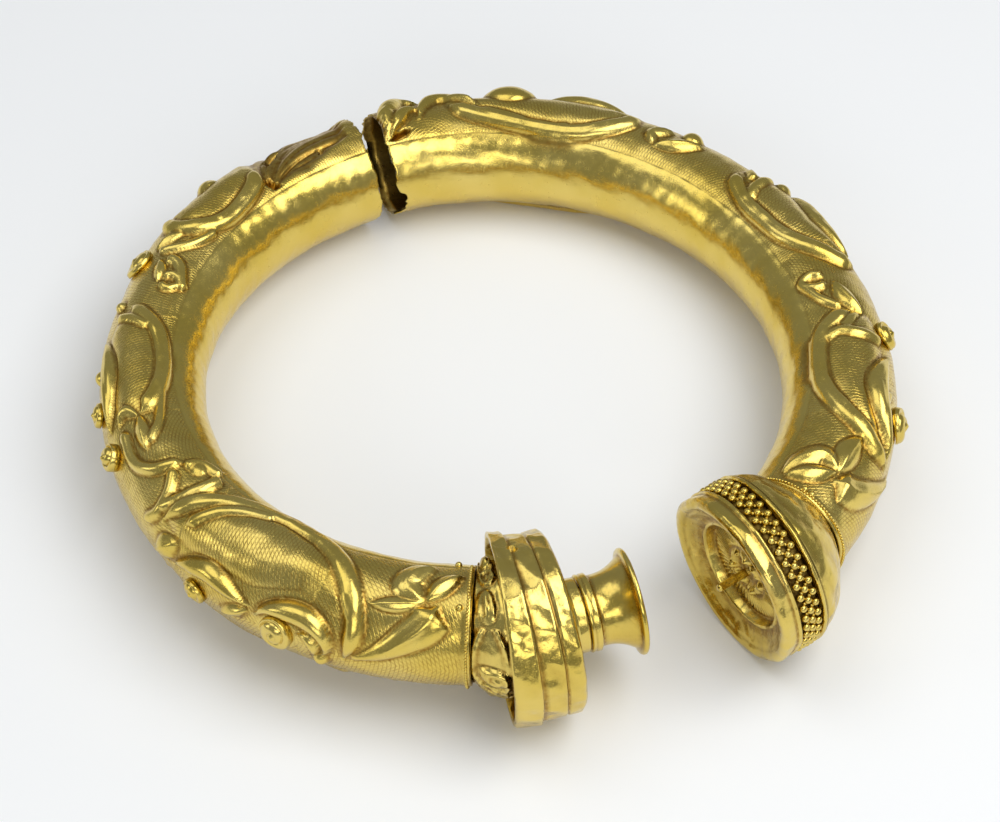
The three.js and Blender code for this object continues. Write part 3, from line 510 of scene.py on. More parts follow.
def tubePiece(side):
    half = halves[side]
    ends = sorted((half["torn"], half["seam"]))
    sizes = tubeSizes
    plain = sizes["plainFrom"]
    angles = np.concatenate([
        np.linspace(-plain, plain, sizes["rows"] - sizes["plainRows"], endpoint=False),
        np.linspace(plain, 360 - plain, sizes["plainRows"], endpoint=False),
    ])
    signed = np.where(angles > 180, angles - 360, angles)
    bearings = np.linspace(*ends, sizes["columns"])
    b, a = np.meshgrid(bearings, signed, indexing="ij")
    u, v = b * chartU, a * chartV
    height, raised = reliefOn(side, u, v)
    seamDistance = np.abs(b - half["seam"]) * chartU
    edge = np.abs(np.abs(a) - sizes["seamAngle"]) * chartV
    height = height - sizes["seamDepth"] * np.exp(-(edge / sizes["seamWidth"]) ** 2)
    fade = smooth(0, 0.5, seamDistance)
    height = np.where(height > 0, height * fade, height)
    rim = np.exp(-((seamDistance - sizes["rimFromEnd"]) / 0.35) ** 4)
    height = height + sizes["rimHeight"] * rim * (np.abs(a) < sizes["seamAngle"] + 4)
    depth = sunkDepth(side, u, v)
    height = height - depth
    wobble = 0.10 * np.sin(u * 0.31 + 1.3 * np.sin(v * 0.21)) * np.sin(v * 0.37 + 0.8 * np.sin(u * 0.17))
    wobble = wobble + 0.05 * np.sin(u * 0.83 + v * 0.5) * np.sin(v * 0.9 - u * 0.4)
    points = onTube(half, b, a, height + wobble, 0.12).reshape(-1, 3)
    ground = (1 - raised) * smooth(119, 115, np.abs(a)) * smooth(1.5, 3.0, seamDistance)
    outer = gridQuads(len(bearings), len(signed), True)
    masks = {
        "swing": hatchOn(side, u, v, 0),
        "swingAcross": hatchOn(side, u, v, look["hatchCrossing"]),
        "ground": ground * (depth < 0.1),
        # Painted shade in the hollows of the relief
        "hollowShade": hollowsOf(height, 2, 3, 0.22),
        # Painted shade over the sunken torn places
        "sunkShade": smooth(0.05, 0.9, sunkDepth(side, u, v, 0.0, 0.0)),
        "hammer": smooth(114, 122, np.abs(a)),
    }

    innerAngles = np.linspace(-180, 180, sizes["innerRows"], endpoint=False)
    innerBearings = np.linspace(*ends, sizes["innerColumns"])
    ib, ia = np.meshgrid(innerBearings, innerAngles, indexing="ij")
    thin = 1.6 * sunkDepth(side, ib * chartU, ia * chartV, 2.5, 0.0)
    inside = onTube(half, ib, ia, -ring["sheet"] - thin, 0.12).reshape(-1, 3)
    start = len(points)
    inner = gridQuads(len(innerBearings), len(innerAngles), True, start)
    obj = makeObject(side + "Tube", toRest(np.vstack([points, inside])), [outer, inner[:, ::-1]])
    for mask, values in masks.items():
        # Inside of the tube: full painted shade in the dull mask, none in the others
        within = np.full(len(inside), 1.0 if mask == "sunkShade" else 0.0)
        setAttribute(obj, mask, np.concatenate([values.reshape(-1), within]))
    work = bmesh.new()
    work.from_mesh(obj.data)
    work.verts.ensure_lookup_table()
    rims = [e for e in work.edges if e.is_boundary]
    firstEnd = [e for e in rims if atFirstEnd(e, start, len(signed), len(innerAngles))]
    bmesh.ops.bridge_loops(work, edges=firstEnd)
    otherEnd = [e for e in work.edges if e.is_boundary]
    bmesh.ops.bridge_loops(work, edges=otherEnd)
    work.to_mesh(obj.data)
    work.free()
    faceOutward(obj)
    return obj


def atFirstEnd(edge, start, rows, innerRows):
    i = edge.verts[0].index
    return i < rows if i < start else i - start < innerRows


def sunkDepth(side, u, v, spread=0.0, folds=1.0):
    # Sunken sheet with folds fanning out from its lower corner
    depth = np.zeros(u.shape)
    for sunk, slope, *places in sunken[side]:
        p = np.array(places, float).reshape(-1, 2) * (chartU, chartV)
        corner = p[3]
        middle = p.mean(axis=0)
        grow = 1 + spread / 8
        d = insideDepth(places, middle[0] + (u - middle[0]) / grow, middle[1] + (v - middle[1]) / grow)
        turn = np.arctan2(v - corner[1], u - corner[0])
        run = np.hypot(v - corner[1], u - corner[0])
        fold = 0.8 * np.abs(np.sin(8.5 * turn + 0.1 * run)) ** 0.8 * clampUnit(run / 5)
        fold = fold + 0.35 * np.abs(np.sin(21 * turn + 0.3 * run)) * clampUnit(run / 9)
        creased = folds if slope > 2 else 0.0
        depth = np.maximum(depth, (sunk - fold * creased) * smooth(0, slope, d))
    return depth


def bossPiece(side, number, bearing, angle, radius, rise):
    half = halves[side]
    around, rings = 56, 44
    q = np.linspace(1, 0.02, rings)
    k = np.arange(around) / around
    qq, kk = np.meshgrid(q, k, indexing="ij")
    turns = (1.75 * qq - kk) % 1.0
    coil = np.sqrt(np.clip(1 - (2 * turns - 1) ** 2, 0, 1))
    centre = smooth(0.32, 0.22, qq)
    coil = coil * (1 - centre) + np.sqrt(np.clip(1 - (qq / 0.32) ** 2, 0, 1)) * centre
    edge = np.sqrt(clampUnit((1 - qq) / 0.1))
    top = 0.3 + rise * edge * (0.1 + 0.36 * (1 - qq) + 0.26 * coil)
    top[0] = 0.3

    def place(q, k, out):
        v = angle * chartV + q * radius * np.sin(2 * math.pi * k)
        u = bearing * chartU + q * radius * np.cos(2 * math.pi * k) / stretchAt(v)
        return onTube(half, u / chartU, v / chartV, out)

    points = place(qq, kk, top).reshape(-1, 3)
    tip = place(np.zeros(1), np.zeros(1), 0.3 + rise * 0.72)
    under = place(np.zeros(1), np.zeros(1), 0.3)
    every = np.vstack([points, tip, under])
    quads = gridQuads(rings, around, True)
    n = len(points)
    j = np.arange(around)
    last = (rings - 1) * around
    cap = np.stack([last + j, np.full(around, n), last + (j + 1) % around], -1)
    foot = np.stack([j, (j + 1) % around, np.full(around, n + 1)], -1)
    obj = makeObject("snailBoss_%s_%d" % (side, number), toRest(every), [quads, cap, foot])
    faceOutward(obj)
    return obj


def axisFrame(axis, half, meetBearing, meetTurn, straightAt, meetAt):
    def directionOf(bearing, rise):
        turn, lift = bearing * deg, rise * deg
        return np.stack([np.cos(turn) * np.cos(lift), np.sin(turn) * np.cos(lift), np.sin(lift)], -1)

    straight = directionOf(np.float64(axis["bearing"]), np.float64(axis["rise"]))
    start = np.array(axis["at"])
    b = meetBearing * deg
    radius = centreRadius(half, b)
    end = np.array([half["shift"][0] + radius * math.cos(b), half["shift"][1] + radius * math.sin(b), 0.0])
    back = 1 if meetAt < straightAt else -1
    end = end + directionOf(np.float64(meetTurn), np.float64(0.0)) * back * 0.3
    offset = end - (start + straight * meetAt)

    def at(s, r, a):
        s = np.asarray(s, float)
        k = clampUnit((s - straightAt) / (meetAt - straightAt)) ** 3
        turn = axis["bearing"] + (meetTurn - axis["bearing"]) * k
        along = directionOf(turn, axis["rise"] * (1 - k))
        centre = start + straight * s[..., None] + offset * k[..., None]
        out = np.stack([np.sin(turn * deg), -np.cos(turn * deg), np.zeros(turn.shape)], -1)
        up = -np.cross(along, out)
        r = np.asarray(r, float)[..., None]
        a = np.asarray(a, float)[..., None]
        return centre + out * r * np.cos(a) + up * r * np.sin(a)

    return at


drumAt = axisFrame(drum, halves["left"], 266.0, -4.0, drum["frontTo"], drum["rearFrom"] - drum["neck"])
cupAt = axisFrame(cup, halves["right"], -37.5, 52.5, cup["channelEnd"], cup["collarEnd"])


def finerProfile(profile, spacing, closed):
    # Straight runs of a profile cut into even steps, corners kept
    out = []
    pairs = list(zip(profile, profile[1:] + profile[:1])) if closed else list(zip(profile[:-1], profile[1:]))
    for p, q in pairs:
        count = max(1, round(math.dist(p, q) / spacing))
        for i in range(count):
            out.append((p[0] + (q[0] - p[0]) * i / count, p[1] + (q[1] - p[1]) * i / count))
    if not closed:
        out.append(profile[-1])
    return np.array(out)


def profileHollow(line):
    # Mask of the grooves of a profile, from how far its neighbours stand out of it, used as painted shade in
    # the grooves
    mean = sum(np.roll(line, i, axis=0) for i in range(-3, 4)) / 7
    along = np.roll(line, -1, axis=0) - np.roll(line, 1, axis=0)
    along = along / np.maximum(1e-6, np.linalg.norm(along, axis=1))[:, None]
    outward = np.stack([-along[:, 1], along[:, 0]], 1)
    return clampUnit(((mean - line) * outward).sum(axis=1) / 0.16)


def turnedPiece(name, profile, at, around, rise=None, spacing=0.6, sink=None):
    closed = profile[0][1] > 0
    line = finerProfile(profile, spacing, closed)
    poles = not closed
    body = line[1:-1] if poles else line
    s, a = np.meshgrid(body[:, 0], 2 * math.pi * np.arange(around) / around, indexing="ij")
    r = np.repeat(body[:, 1][:, None], around, 1)
    plain = r
    # Painted shade in the grooves of the profile and round the raised and sunken marks
    hollowShade = np.repeat(profileHollow(body)[:, None], around, 1)
    if rise is not None:
        raised = rise(s, r, a)
        r = r + raised
        hollowShade = clampUnit(hollowShade + hollowsOf(raised, 2, 2, 0.2))
    if sink is not None:
        sunk = sink(s, plain, a)
        s = s + sunk
        hollowShade = clampUnit(hollowShade + hollowsOf(-sunk, 1, 2, 0.2))
    points = at(s, r, a).reshape(-1, 3)
    faces = [gridQuads(len(body), around, True)]
    n = len(points)
    j = np.arange(around)
    if poles:
        tips = at(line[[0, -1], 0], np.zeros(2), np.zeros(2))
        points = np.vstack([points, tips])
        last = (len(body) - 1) * around
        faces.append(np.stack([j, (j + 1) % around, np.full(around, n)], -1))
        faces.append(np.stack([last + j, np.full(around, n + 1), last + (j + 1) % around], -1))
    else:
        last = (len(body) - 1) * around
        faces.append(np.stack([last + j, j, (j + 1) % around, last + (j + 1) % around], -1))
    obj = makeObject(name, toRest(points), faces)
    ends = np.zeros(2 if poles else 0)
    setAttribute(obj, "hollowShade", np.concatenate([hollowShade.reshape(-1), ends]))
    faceOutward(obj)
    return obj


def knob(a, s, angle, along, halfAngle, halfRun, rise, power=0.5):
    gap = np.abs(a / deg - angle) % 360
    gap = np.minimum(gap, 360 - gap)
    q = np.hypot(gap / halfAngle, (s - along) / halfRun)
    return np.where(q < 1, rise * np.clip(1 - q * q, 0, 1) ** power, 0.0)


def drumRise(s, r, a):
    # Ornament of the neck, repeated round it, then the dents of the bands and the pin hole
    rise = np.zeros(s.shape)
    back = drum["rearFrom"]
    outer = (s < back) & (r > ring["tube"] - 0.6)
    middle = back - drum["neck"] / 2
    radius = ring["tube"] + 1.2
    step = 360 / drum["neckRepeats"]
    eyeAt, leafAt, archFrom, knobAt = drum["neckPlaces"]
    for number in range(drum["neckRepeats"]):
        # Eye disc, leaf, then a pointed arch over a coiled knob
        turn = np.mod(a / deg - number * step + 180, 360) - 180
        distance = np.hypot((turn - eyeAt) * radius * deg, s - middle - 0.4)
        eye = np.where(distance < 2.5, 0.5 + 0.35 * np.cos(2 * math.pi * distance / 2.1), 0.0)
        rise = np.maximum(rise, eye * smooth(2.5, 2.2, distance))
        leaf = knob(a, s, leafAt + number * step, middle - 0.3, 17, 2.2, 1.0, 0.5)
        rib = knob(a, s, leafAt + number * step, middle - 0.3, 15, 0.7, 0.5, 1.0)
        rise = np.maximum(rise, leaf + rib)
        fall = clampUnit((archFrom - turn) / 80)
        width = 3.1 * np.sin(math.pi * clampUnit(0.08 + 0.92 * fall)) ** 0.7
        edge = np.abs(np.abs(s - middle) - width)
        arch = np.where((fall > 0) & (fall < 1), 0.8 * smooth(0.75, 0.1, edge), 0.0)
        rise = np.maximum(rise, arch)
        across = (turn - knobAt) * radius * deg
        along = s - middle - 0.3
        distance = np.hypot(across, along)
        coil = 0.86 + 0.14 * np.cos(2 * math.pi * distance / 1.9 - np.arctan2(along, across))
        rise = np.maximum(rise, 2.2 * coil * np.sqrt(clampUnit(1 - (distance / 2.7) ** 2)))
    rise = np.where(outer, rise * smooth(back, back - 0.5, s), 0.0)
    shell = (r > drum["middle"] - 1.5) & (s > back - 0.1)
    dents = 0.22 * np.sin(4 * a + 0.5 * s) * np.sin(2 * a + 1.0) + 0.12 * np.sin(11 * a + s) * np.sin(3 * a)
    crease = np.abs(np.sin(7.5 * a + 0.35 * s + 0.8 * np.sin(2 * a)))
    dents = dents - 0.3 * crease * (0.5 + 0.5 * np.sin(3 * a + 0.5))
    pin = knob(a, s, drum["pinAngle"], drum["pinAlong"], 3.0, 1.1, drum["pinDepth"], 0.22)
    return rise + np.where(shell, dents - pin, 0.0)


def sizesOf(piece, *names):
    return [piece[name] for name in names]


def drumProfile():
    back, backEnd, rear, neck, neckFlare = sizesOf(drum, "rearFrom", "rearTo", "rear", "neck", "neckFlare")
    middle, middleEnd, front, frontEnd = sizesOf(drum, "middle", "middleTo", "front", "frontTo")
    wall, stub, stubEnd = sizesOf(drum, "wall", "stub", "stubEnd")
    start, plate, tube = back - neck, frontEnd - wall, ring["tube"]
    return [
        (start, tube), (start + 2, tube + 0.3 * neckFlare), (start + 4, tube + 0.7 * neckFlare),
        (back, tube + neckFlare), (plate, tube + neckFlare + 0.4), (plate, middle - wall - 0.3),
        (back, rear - wall - 0.2), (back, rear - 0.4), (back + 0.4, rear), (backEnd, rear),
        (backEnd + 0.35, middle), (middleEnd - 0.3, middle + 0.1), (middleEnd, middle - 0.5),
        (middleEnd + 0.35, middle - 0.6), (middleEnd + 0.7, front), (frontEnd - 0.7, front - 0.1),
        (frontEnd, front - 0.8), (frontEnd, stub), (stubEnd, stub - 0.3), (stubEnd, stub - 1.5),
        (plate, tube - 2.4), (start, tube - 0.9),
    ]


def spoolProfile():
    stub, width, end, waist, flare = sizesOf(drum, "stub", "spoolRing", "spoolEnd", "waist", "flare")
    start = drum["stubEnd"] + 0.3
    span = end - start
    line = [(start, stub - 1.9), (start, stub - 0.1), (start + 0.3, stub + 0.15), (start + 1.0, stub - 0.05),
            (start + 1.4, stub + 0.1), (start + width - 0.3, stub + 0.1), (start + width, stub - 0.5)]

    def flareAt(k):
        return waist + (flare - waist) * max(0.0, (k - 0.3) / 0.7) ** 2.2

    steps = [0.26 + 0.62 * i / 12 for i in range(13)]
    line += [(start + span * k, flareAt(k)) for k in steps]
    line += [(end - 1.35, flare - 0.75), (end - 1.3, flare - 0.3), (end - 0.9, flare), (end - 0.4, flare),
             (end - 0.1, flare - 0.3), (end, flare - 0.8), (end - 0.3, flare - 1.3), (end - 0.8, flare - 1.6)]
    line += [(start + span * k, flareAt(k) - 1.1) for k in reversed(steps)]
    return line


def collarCurve(k):
    foot = ring["tube"] + 1.2
    return foot + (cup["radius"] - 0.4 - foot) * math.cos(math.pi / 2 * k)


def cupProfile():
    radius, band, end, collarEnd, floor = sizesOf(cup, "radius", "band", "channelEnd", "collarEnd", "floor")
    stepDepth, stepRadius, stud, studTip = sizesOf(cup, "stepDepth", "stepRadius", "stud", "studTip")
    seat = radius - cup["channelDepth"]
    inner = radius - cup["lip"]
    slope = stepRadius + 0.8
    line = [(studTip - 0.4, 0), (studTip - 0.3, stud * 0.6), (studTip, stud * 0.9), (floor - 0.2, stud),
            (floor + 0.2, 1.5), (floor + 0.3, 3.5), (floor - 0.6, 4.3), (floor - 0.9, 4.9),
            (floor - 0.6, 5.6), (floor, 6.4), (floor, stepRadius - 1.0), (stepDepth - 0.4, stepRadius),
            (stepDepth - 0.5, stepRadius + 0.4), (stepDepth, slope)]
    for i in range(1, 7):
        k = i / 7
        line.append((stepDepth * (1 - k) ** 0.6, slope + (inner - slope) * k))
    line += [(0.75, inner + 0.05), (0.3, inner + 0.35), (0.05, inner + 0.9), (0.0, inner + 1.5),
             (0.15, radius - 0.9), (0.5, radius - 0.35), (1.1, radius - 0.02), (band * 0.5, radius - 0.1),
             (band - 1.0, radius - 0.45), (band - 0.85, radius - 0.1), (band - 0.5, radius + 0.1),
             (band - 0.15, radius), (band, radius - 0.5), (band + 0.3, seat), (end - 0.3, seat),
             (end, radius - 0.6), (end + 0.15, radius - 0.1), (end + 0.45, radius + 0.05),
             (end + 0.8, radius - 0.1), (end + 0.95, radius - 0.5), (end + 1.3, radius - 0.3)]
    for i in range(2, 21):
        k = i / 20
        line.append((end + (collarEnd - end) * k, collarCurve(k)))
    line += [(collarEnd, ring["tube"] - 0.9), (end + 5, 15.6), (end, seat - 0.9),
             (floor + 0.9, seat - 0.9), (floor + 0.9, 0)]
    return line


def cupRise(s, r, a):
    # Dents of the hammered collar and of the front band
    collar = (r > ring["tube"]) * smooth(cup["channelEnd"] + 1.0, cup["channelEnd"] + 3.0, s)
    dents = 0.3 * np.sin(3 * a + 0.6) * np.sin(0.5 * s) + 0.2 * np.sin(7 * a + 0.7 * s) * np.sin(0.9 * s - a)
    dents = dents - 0.25 * np.abs(np.sin(5.5 * a + 0.25 * s)) * np.sin(0.28 * (s - cup["channelEnd"]))
    band = (s < cup["band"]) & (r > cup["radius"] - 1)
    press = 0.14 * np.sin(4 * a + 2) + 0.1 * np.sin(9 * a + 0.5 * s) - 0.12 * np.abs(np.sin(6.5 * a + 1))
    return collar * dents + np.where(band, press, 0.0)


def cupSink(s, r, a):
    # Flutes round the floor of the mouth, its torn middle and hammer marks on its slope
    step = cup["stepRadius"]
    floor = smooth(6.6, 7.4, r) * smooth(step - 0.9, step - 1.6, r) * (s < cup["floor"] + 0.3)
    flute = np.abs(np.sin(cup["flutes"] * a + 0.8 * np.sin(5 * a)))
    flutes = -cup["fluteDepth"] * flute * (0.75 + 0.25 * np.sin(3 * a + 1))
    slope = smooth(step + 0.6, step + 1.6, r) * smooth(18.2, 17.4, r) * (s < 4)
    ragged = smooth(3.2, 4.2, r) * smooth(6.4, 5.4, r) * (s < cup["floor"] + 0.5)
    torn = waveSum([(0.4, 3, 1), (0.3, 7, 0), (0.2, 13, r)], a)
    return floor * flutes + ragged * torn + slope * (0.12 * np.sin(5 * a + r) + 0.07 * np.sin(13 * a - 2 * r))


def namedGroup(name, kind, inputs, outputs):
    tree = bpy.data.node_groups.new(name, kind)
    for title, form, value in inputs:
        socket = tree.interface.new_socket(title, in_out="INPUT", socket_type=form)
        if value is not None:
            socket.default_value = value
    for title, form in outputs:
        tree.interface.new_socket(title, in_out="OUTPUT", socket_type=form)
    return tree


def grainTree():
    # Small round grains set on the points of a path mesh
    tree = namedGroup("Grain rows", "GeometryNodeTree", [
        ("Geometry", "NodeSocketGeometry", None),
        ("Grain Radius", "NodeSocketFloat", 0.001),
        ("Size Scatter", "NodeSocketFloat", 0.06),
        ("Seed", "NodeSocketInt", 3),
        ("Material", "NodeSocketMaterial", None),
    ], [("Geometry", "NodeSocketGeometry")])
    add = tree.nodes.new
    link = tree.links.new
    enter = add("NodeGroupInput")
    leave = add("NodeGroupOutput")
    ball = add("GeometryNodeMeshUVSphere")
    ball.inputs["Segments"].default_value = 12
    ball.inputs["Rings"].default_value = 7
    link(enter.outputs["Grain Radius"], ball.inputs["Radius"])
    scatter = add("FunctionNodeRandomValue")
    scatter.data_type = "FLOAT"
    low = add("ShaderNodeMath")
    low.operation = "SUBTRACT"
    low.inputs[0].default_value = 1.0
    link(enter.outputs["Size Scatter"], low.inputs[1])
    link(low.outputs[0], scatter.inputs[2])
    link(enter.outputs["Seed"], scatter.inputs["Seed"])
    setOn = add("GeometryNodeInstanceOnPoints")
    link(enter.outputs["Geometry"], setOn.inputs["Points"])
    link(ball.outputs["Mesh"], setOn.inputs["Instance"])
    link(scatter.outputs[1], setOn.inputs["Scale"])
    made = setOn.outputs["Instances"]
    for kind in ("RealizeInstances", "SetShadeSmooth", "SetMaterial"):
        node = add("GeometryNode" + kind)
        link(made, node.inputs["Geometry"])
        made = node.outputs["Geometry"]
    link(enter.outputs["Material"], node.inputs["Material"])
    link(made, leave.inputs["Geometry"])
    return tree


def grainPiece(name, points, radius, material, tree, scatter=0.06, seed=3):
    mesh = bpy.data.meshes.new(name + "Path")
    mesh.from_pydata([tuple(p) for p in points], [], [])
    obj = bpy.data.objects.new(name + "Path", mesh)
    bpy.context.scene.collection.objects.link(obj)
    modifier = obj.modifiers.new("grains", "NODES")
    modifier.node_group = tree
    names = {item.name: item.identifier for item in tree.interface.items_tree if item.in_out == "INPUT"}
    modifier[names["Grain Radius"]] = radius
    modifier[names["Size Scatter"]] = scatter
    modifier[names["Seed"]] = seed
    modifier[names["Material"]] = material
    bpy.context.view_layer.update()
    graph = bpy.context.evaluated_depsgraph_get()
    made = bpy.data.meshes.new_from_object(obj.evaluated_get(graph))
    bpy.data.objects.remove(obj)
    piece = bpy.data.objects.new(name, made)
    bpy.context.scene.collection.objects.link(piece)
    if not made.materials:
        made.materials.append(material)
    return piece


def mathNode(tree, operation, *values):
    # Values may be numbers or sockets
    node = tree.nodes.new("ShaderNodeMath")
    node.operation = operation
    for socket, value in zip(node.inputs, values):
        if isinstance(value, (int, float)):
            socket.default_value = value
        else:
            tree.links.new(value, socket)
    return node.outputs[0]


def goldGroup():
    # Colour, roughness and fine relief of worn gold, shared by every piece, with painted shade (the deep
    # gold) mixed in by the Hollow input
    tree = namedGroup("Worn gold and painted shade", "ShaderNodeTree", [
        ("Gold", "NodeSocketColor", look["gold"] + (1,)),
        ("Shade Gold", "NodeSocketColor", look["shadeGold"] + (1,)),
        ("Pale Gold", "NodeSocketColor", look["paleGold"] + (1,)),
        ("Roughness", "NodeSocketFloat", look["roughness"]),
        ("Hollow Shade", "NodeSocketFloat", 0.0),
        ("Hatch", "NodeSocketFloat", 0.0),
        ("Hammer", "NodeSocketFloat", 0.0),
    ], [("Color", "NodeSocketColor"), ("Roughness", "NodeSocketFloat"), ("Height", "NodeSocketFloat")])
    add = tree.nodes.new
    link = tree.links.new
    enter = add("NodeGroupInput")
    leave = add("NodeGroupOutput")
    where = add("ShaderNodeTexCoord")

    def noise(scale, detail):
        node = add("ShaderNodeTexNoise")
        node.inputs["Scale"].default_value = scale
        node.inputs["Detail"].default_value = detail
        link(where.outputs["Object"], node.inputs["Vector"])
        return node.outputs["Fac"]

    def span(value, *ends):
        node = add("ShaderNodeMapRange")
        for title, end in zip(("From Min", "From Max", "To Min", "To Max"), ends):
            node.inputs[title].default_value = end
        link(value, node.inputs["Value"])
        return node.outputs["Result"]

    def sums(a, b, operation="ADD"):
        return mathNode(tree, operation, a, b)

    def mix(fac, a, b):
        node = add("ShaderNodeMix")
        node.data_type = "RGBA"
        link(fac, node.inputs["Factor"])
        link(a, node.inputs["A"])
        link(b, node.inputs["B"])
        return node.outputs["Result"]

    broad = noise(60.0, 3.0)
    small = noise(900.0, 4.0)
    pits = noise(2600.0, 2.0)
    cloud = span(broad, 0.35, 0.7, 0.0, 0.45)
    base = mix(cloud, enter.outputs["Gold"], enter.outputs["Pale Gold"])
    # Painted shade: the deep gold mixed in as far as the Hollow input asks
    hollowShade = sums(enter.outputs["Hollow Shade"], span(small, 0.3, 0.7, 0.6, 1.1), "MULTIPLY")
    color = mix(hollowShade, base, enter.outputs["Shade Gold"])
    rough = sums(enter.outputs["Roughness"], span(small, 0.3, 0.75, -0.04, 0.1))
    rough = sums(rough, sums(enter.outputs["Hollow Shade"], 0.12, "MULTIPLY"))
    height = sums(span(small, 0.0, 1.0, 0.0, 0.00003), span(pits, 0.55, 0.8, 0.0, -0.00003))
    height = sums(height, span(broad, 0.0, 1.0, 0.0, 0.0006))
    height = sums(height, sums(enter.outputs["Hatch"], 0.00005, "MULTIPLY"), "SUBTRACT")
    cells = add("ShaderNodeTexVoronoi")
    cells.feature = "SMOOTH_F1"
    cells.inputs["Scale"].default_value = 210.0
    cells.inputs["Smoothness"].default_value = 0.25
    link(where.outputs["Object"], cells.inputs["Vector"])
    facets = span(cells.outputs["Distance"], 0.0, 1.0, 0.0, 0.0011)
    dents = sums(facets, span(noise(170.0, 2.0), 0.0, 1.0, 0.0, 0.0012))
    height = sums(height, sums(enter.outputs["Hammer"], dents, "MULTIPLY"))
    link(color, leave.inputs["Color"])
    link(rough, leave.inputs["Roughness"])
    link(height, leave.inputs["Height"])
    return tree


def goldMaterial(name, tree, kind="plain", shadeTint=0.0, roughness=None, hammer=0.0, deep=None):
    material = bpy.data.materials.new(name)
    material.use_nodes = True
    nodes = material.node_tree.nodes
    links = material.node_tree.links
    shader = nodes["Principled BSDF"]
    shader.inputs["Metallic"].default_value = 1.0
    gold = nodes.new("ShaderNodeGroup")
    gold.node_tree = tree
    if roughness is not None:
        gold.inputs["Roughness"].default_value = roughness
    bump = nodes.new("ShaderNodeBump")
    bump.inputs["Strength"].default_value = 0.6
    bump.inputs["Distance"].default_value = 1.0
    links.new(gold.outputs["Color"], shader.inputs["Base Color"])
    links.new(gold.outputs["Roughness"], shader.inputs["Roughness"])
    links.new(gold.outputs["Height"], bump.inputs["Height"])
    links.new(bump.outputs["Normal"], shader.inputs["Normal"])
    # tint: painted shade (deep gold) spread over the whole piece
    gold.inputs["Hollow Shade"].default_value = shadeTint
    gold.inputs["Hammer"].default_value = hammer
    if deep:
        gold.inputs["Shade Gold"].default_value = deep + (1,)

    def mask(attribute):
        node = nodes.new("ShaderNodeAttribute")
        node.attribute_name = attribute
        return node.outputs["Fac"]

    def sums(operation, *values):
        return mathNode(material.node_tree, operation, *values)

    def lines(attribute, strength):
        # Fine engraved arcs, broken by noise, used for the bump and for painted shade in the lines
        wave = sums("SINE", sums("MULTIPLY", mask(attribute), 2 * math.pi / look["hatchPitch"]))
        worn = nodes.new("ShaderNodeTexNoise")
        worn.inputs["Scale"].default_value = 320.0
        where = nodes.new("ShaderNodeTexCoord")
        links.new(where.outputs["Object"], worn.inputs["Vector"])
        full = sums("MULTIPLY", sums("MAXIMUM", sums("SUBTRACT", wave, 0.35), 0.0), 1.5 * strength)
        return sums("MULTIPLY", full, sums("SUBTRACT", sums("MULTIPLY", worn.outputs["Fac"], 2.2), 0.1))

    if kind == "chased":
        arcs = sums("MAXIMUM", lines("swing", 1.0), lines("swingAcross", 0.7))
        cut = sums("MULTIPLY", arcs, mask("ground"))
        links.new(cut, gold.inputs["Hatch"])
        # Painted shade: darker in the hatch lines and on the low ground, then in hollows and in sunken places
        shade = sums("MULTIPLY_ADD", cut, 0.6, sums("MULTIPLY_ADD", mask("ground"), 0.02, shadeTint))
        shade = sums("MULTIPLY_ADD", mask("hollowShade"), 0.85, shade)
        shade = sums("MULTIPLY_ADD", mask("sunkShade"), 0.8, shade)
        links.new(sums("MINIMUM", shade, 1.0), gold.inputs["Hollow Shade"])
        links.new(sums("MULTIPLY_ADD", mask("hammer"), 0.15, hammer), gold.inputs["Hammer"])
    if kind == "turned":
        # Turned pieces: painted shade in their grooves and hollows
        links.new(sums("MULTIPLY_ADD", mask("hollowShade"), 0.85, shadeTint), gold.inputs["Hollow Shade"])
    return material


def give(obj, material):
    obj.data.materials.clear()
    obj.data.materials.append(material)


def addPiece(obj, node):
    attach(obj, "root")
    if node:
        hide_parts(node)


# Copies of the gold differ in roughness, hammering and tint, the amount of painted shade over the whole piece
goldTree = goldGroup()
chased = goldMaterial("Chased tube gold", goldTree, "chased", roughness=0.2)
cast = goldMaterial("Cast gold", goldTree, shadeTint=0.05, roughness=0.16)
turned = goldMaterial("Turned gold", goldTree, "turned", shadeTint=0.02, roughness=0.15, hammer=0.12)
beaten = goldMaterial("Beaten gold", goldTree, "turned", shadeTint=0.04, roughness=0.17, hammer=0.75)
beaded = goldMaterial("Bead gold", goldTree, shadeTint=0.1, roughness=0.2)
# Near-black painted shade for the seat under the beads
channelShadeGold = goldMaterial("Channel painted shade", goldTree, shadeTint=1.0, roughness=0.5, deep=look["channel"])
grains = grainTree()

for side in ("left", "right"):
    tube = tubePiece(side)
    give(tube, chased)
    addPiece(tube, side + "_tube")
    print(side, "tube", len(tube.data.polygons))
    for number, boss in enumerate(ornament[side]["bosses"], 1):
        snail = bossPiece(side, number, *boss)
        give(snail, cast)
        addPiece(snail, "snail_boss_%s_%d" % (side, number))

drumPiece = turnedPiece("drumTerminal", drumProfile(), drumAt, drum["around"], drumRise, 0.45)
give(drumPiece, beaten)
addPiece(drumPiece, "drum_terminal")
spoolPiece = turnedPiece("tenonSpool", spoolProfile(), drumAt, drum["spoolAround"], None, 0.35)
give(spoolPiece, turned)
addPiece(spoolPiece, "tenon_spool")
cupPiece = turnedPiece("cupTerminal", cupProfile(), cupAt, cup["around"], cupRise, 0.5, cupSink)
give(cupPiece, beaten)
addPiece(cupPiece, "cup_terminal")
print("terminals", len(drumPiece.data.polygons), len(cupPiece.data.polygons))


seatFrom = cup["band"] + 0.6
seatTo = cup["channelEnd"] - 0.6
seatUnder = cup["radius"] - cup["channelDepth"] + 0.3
seatTop = seatUnder + 0.4


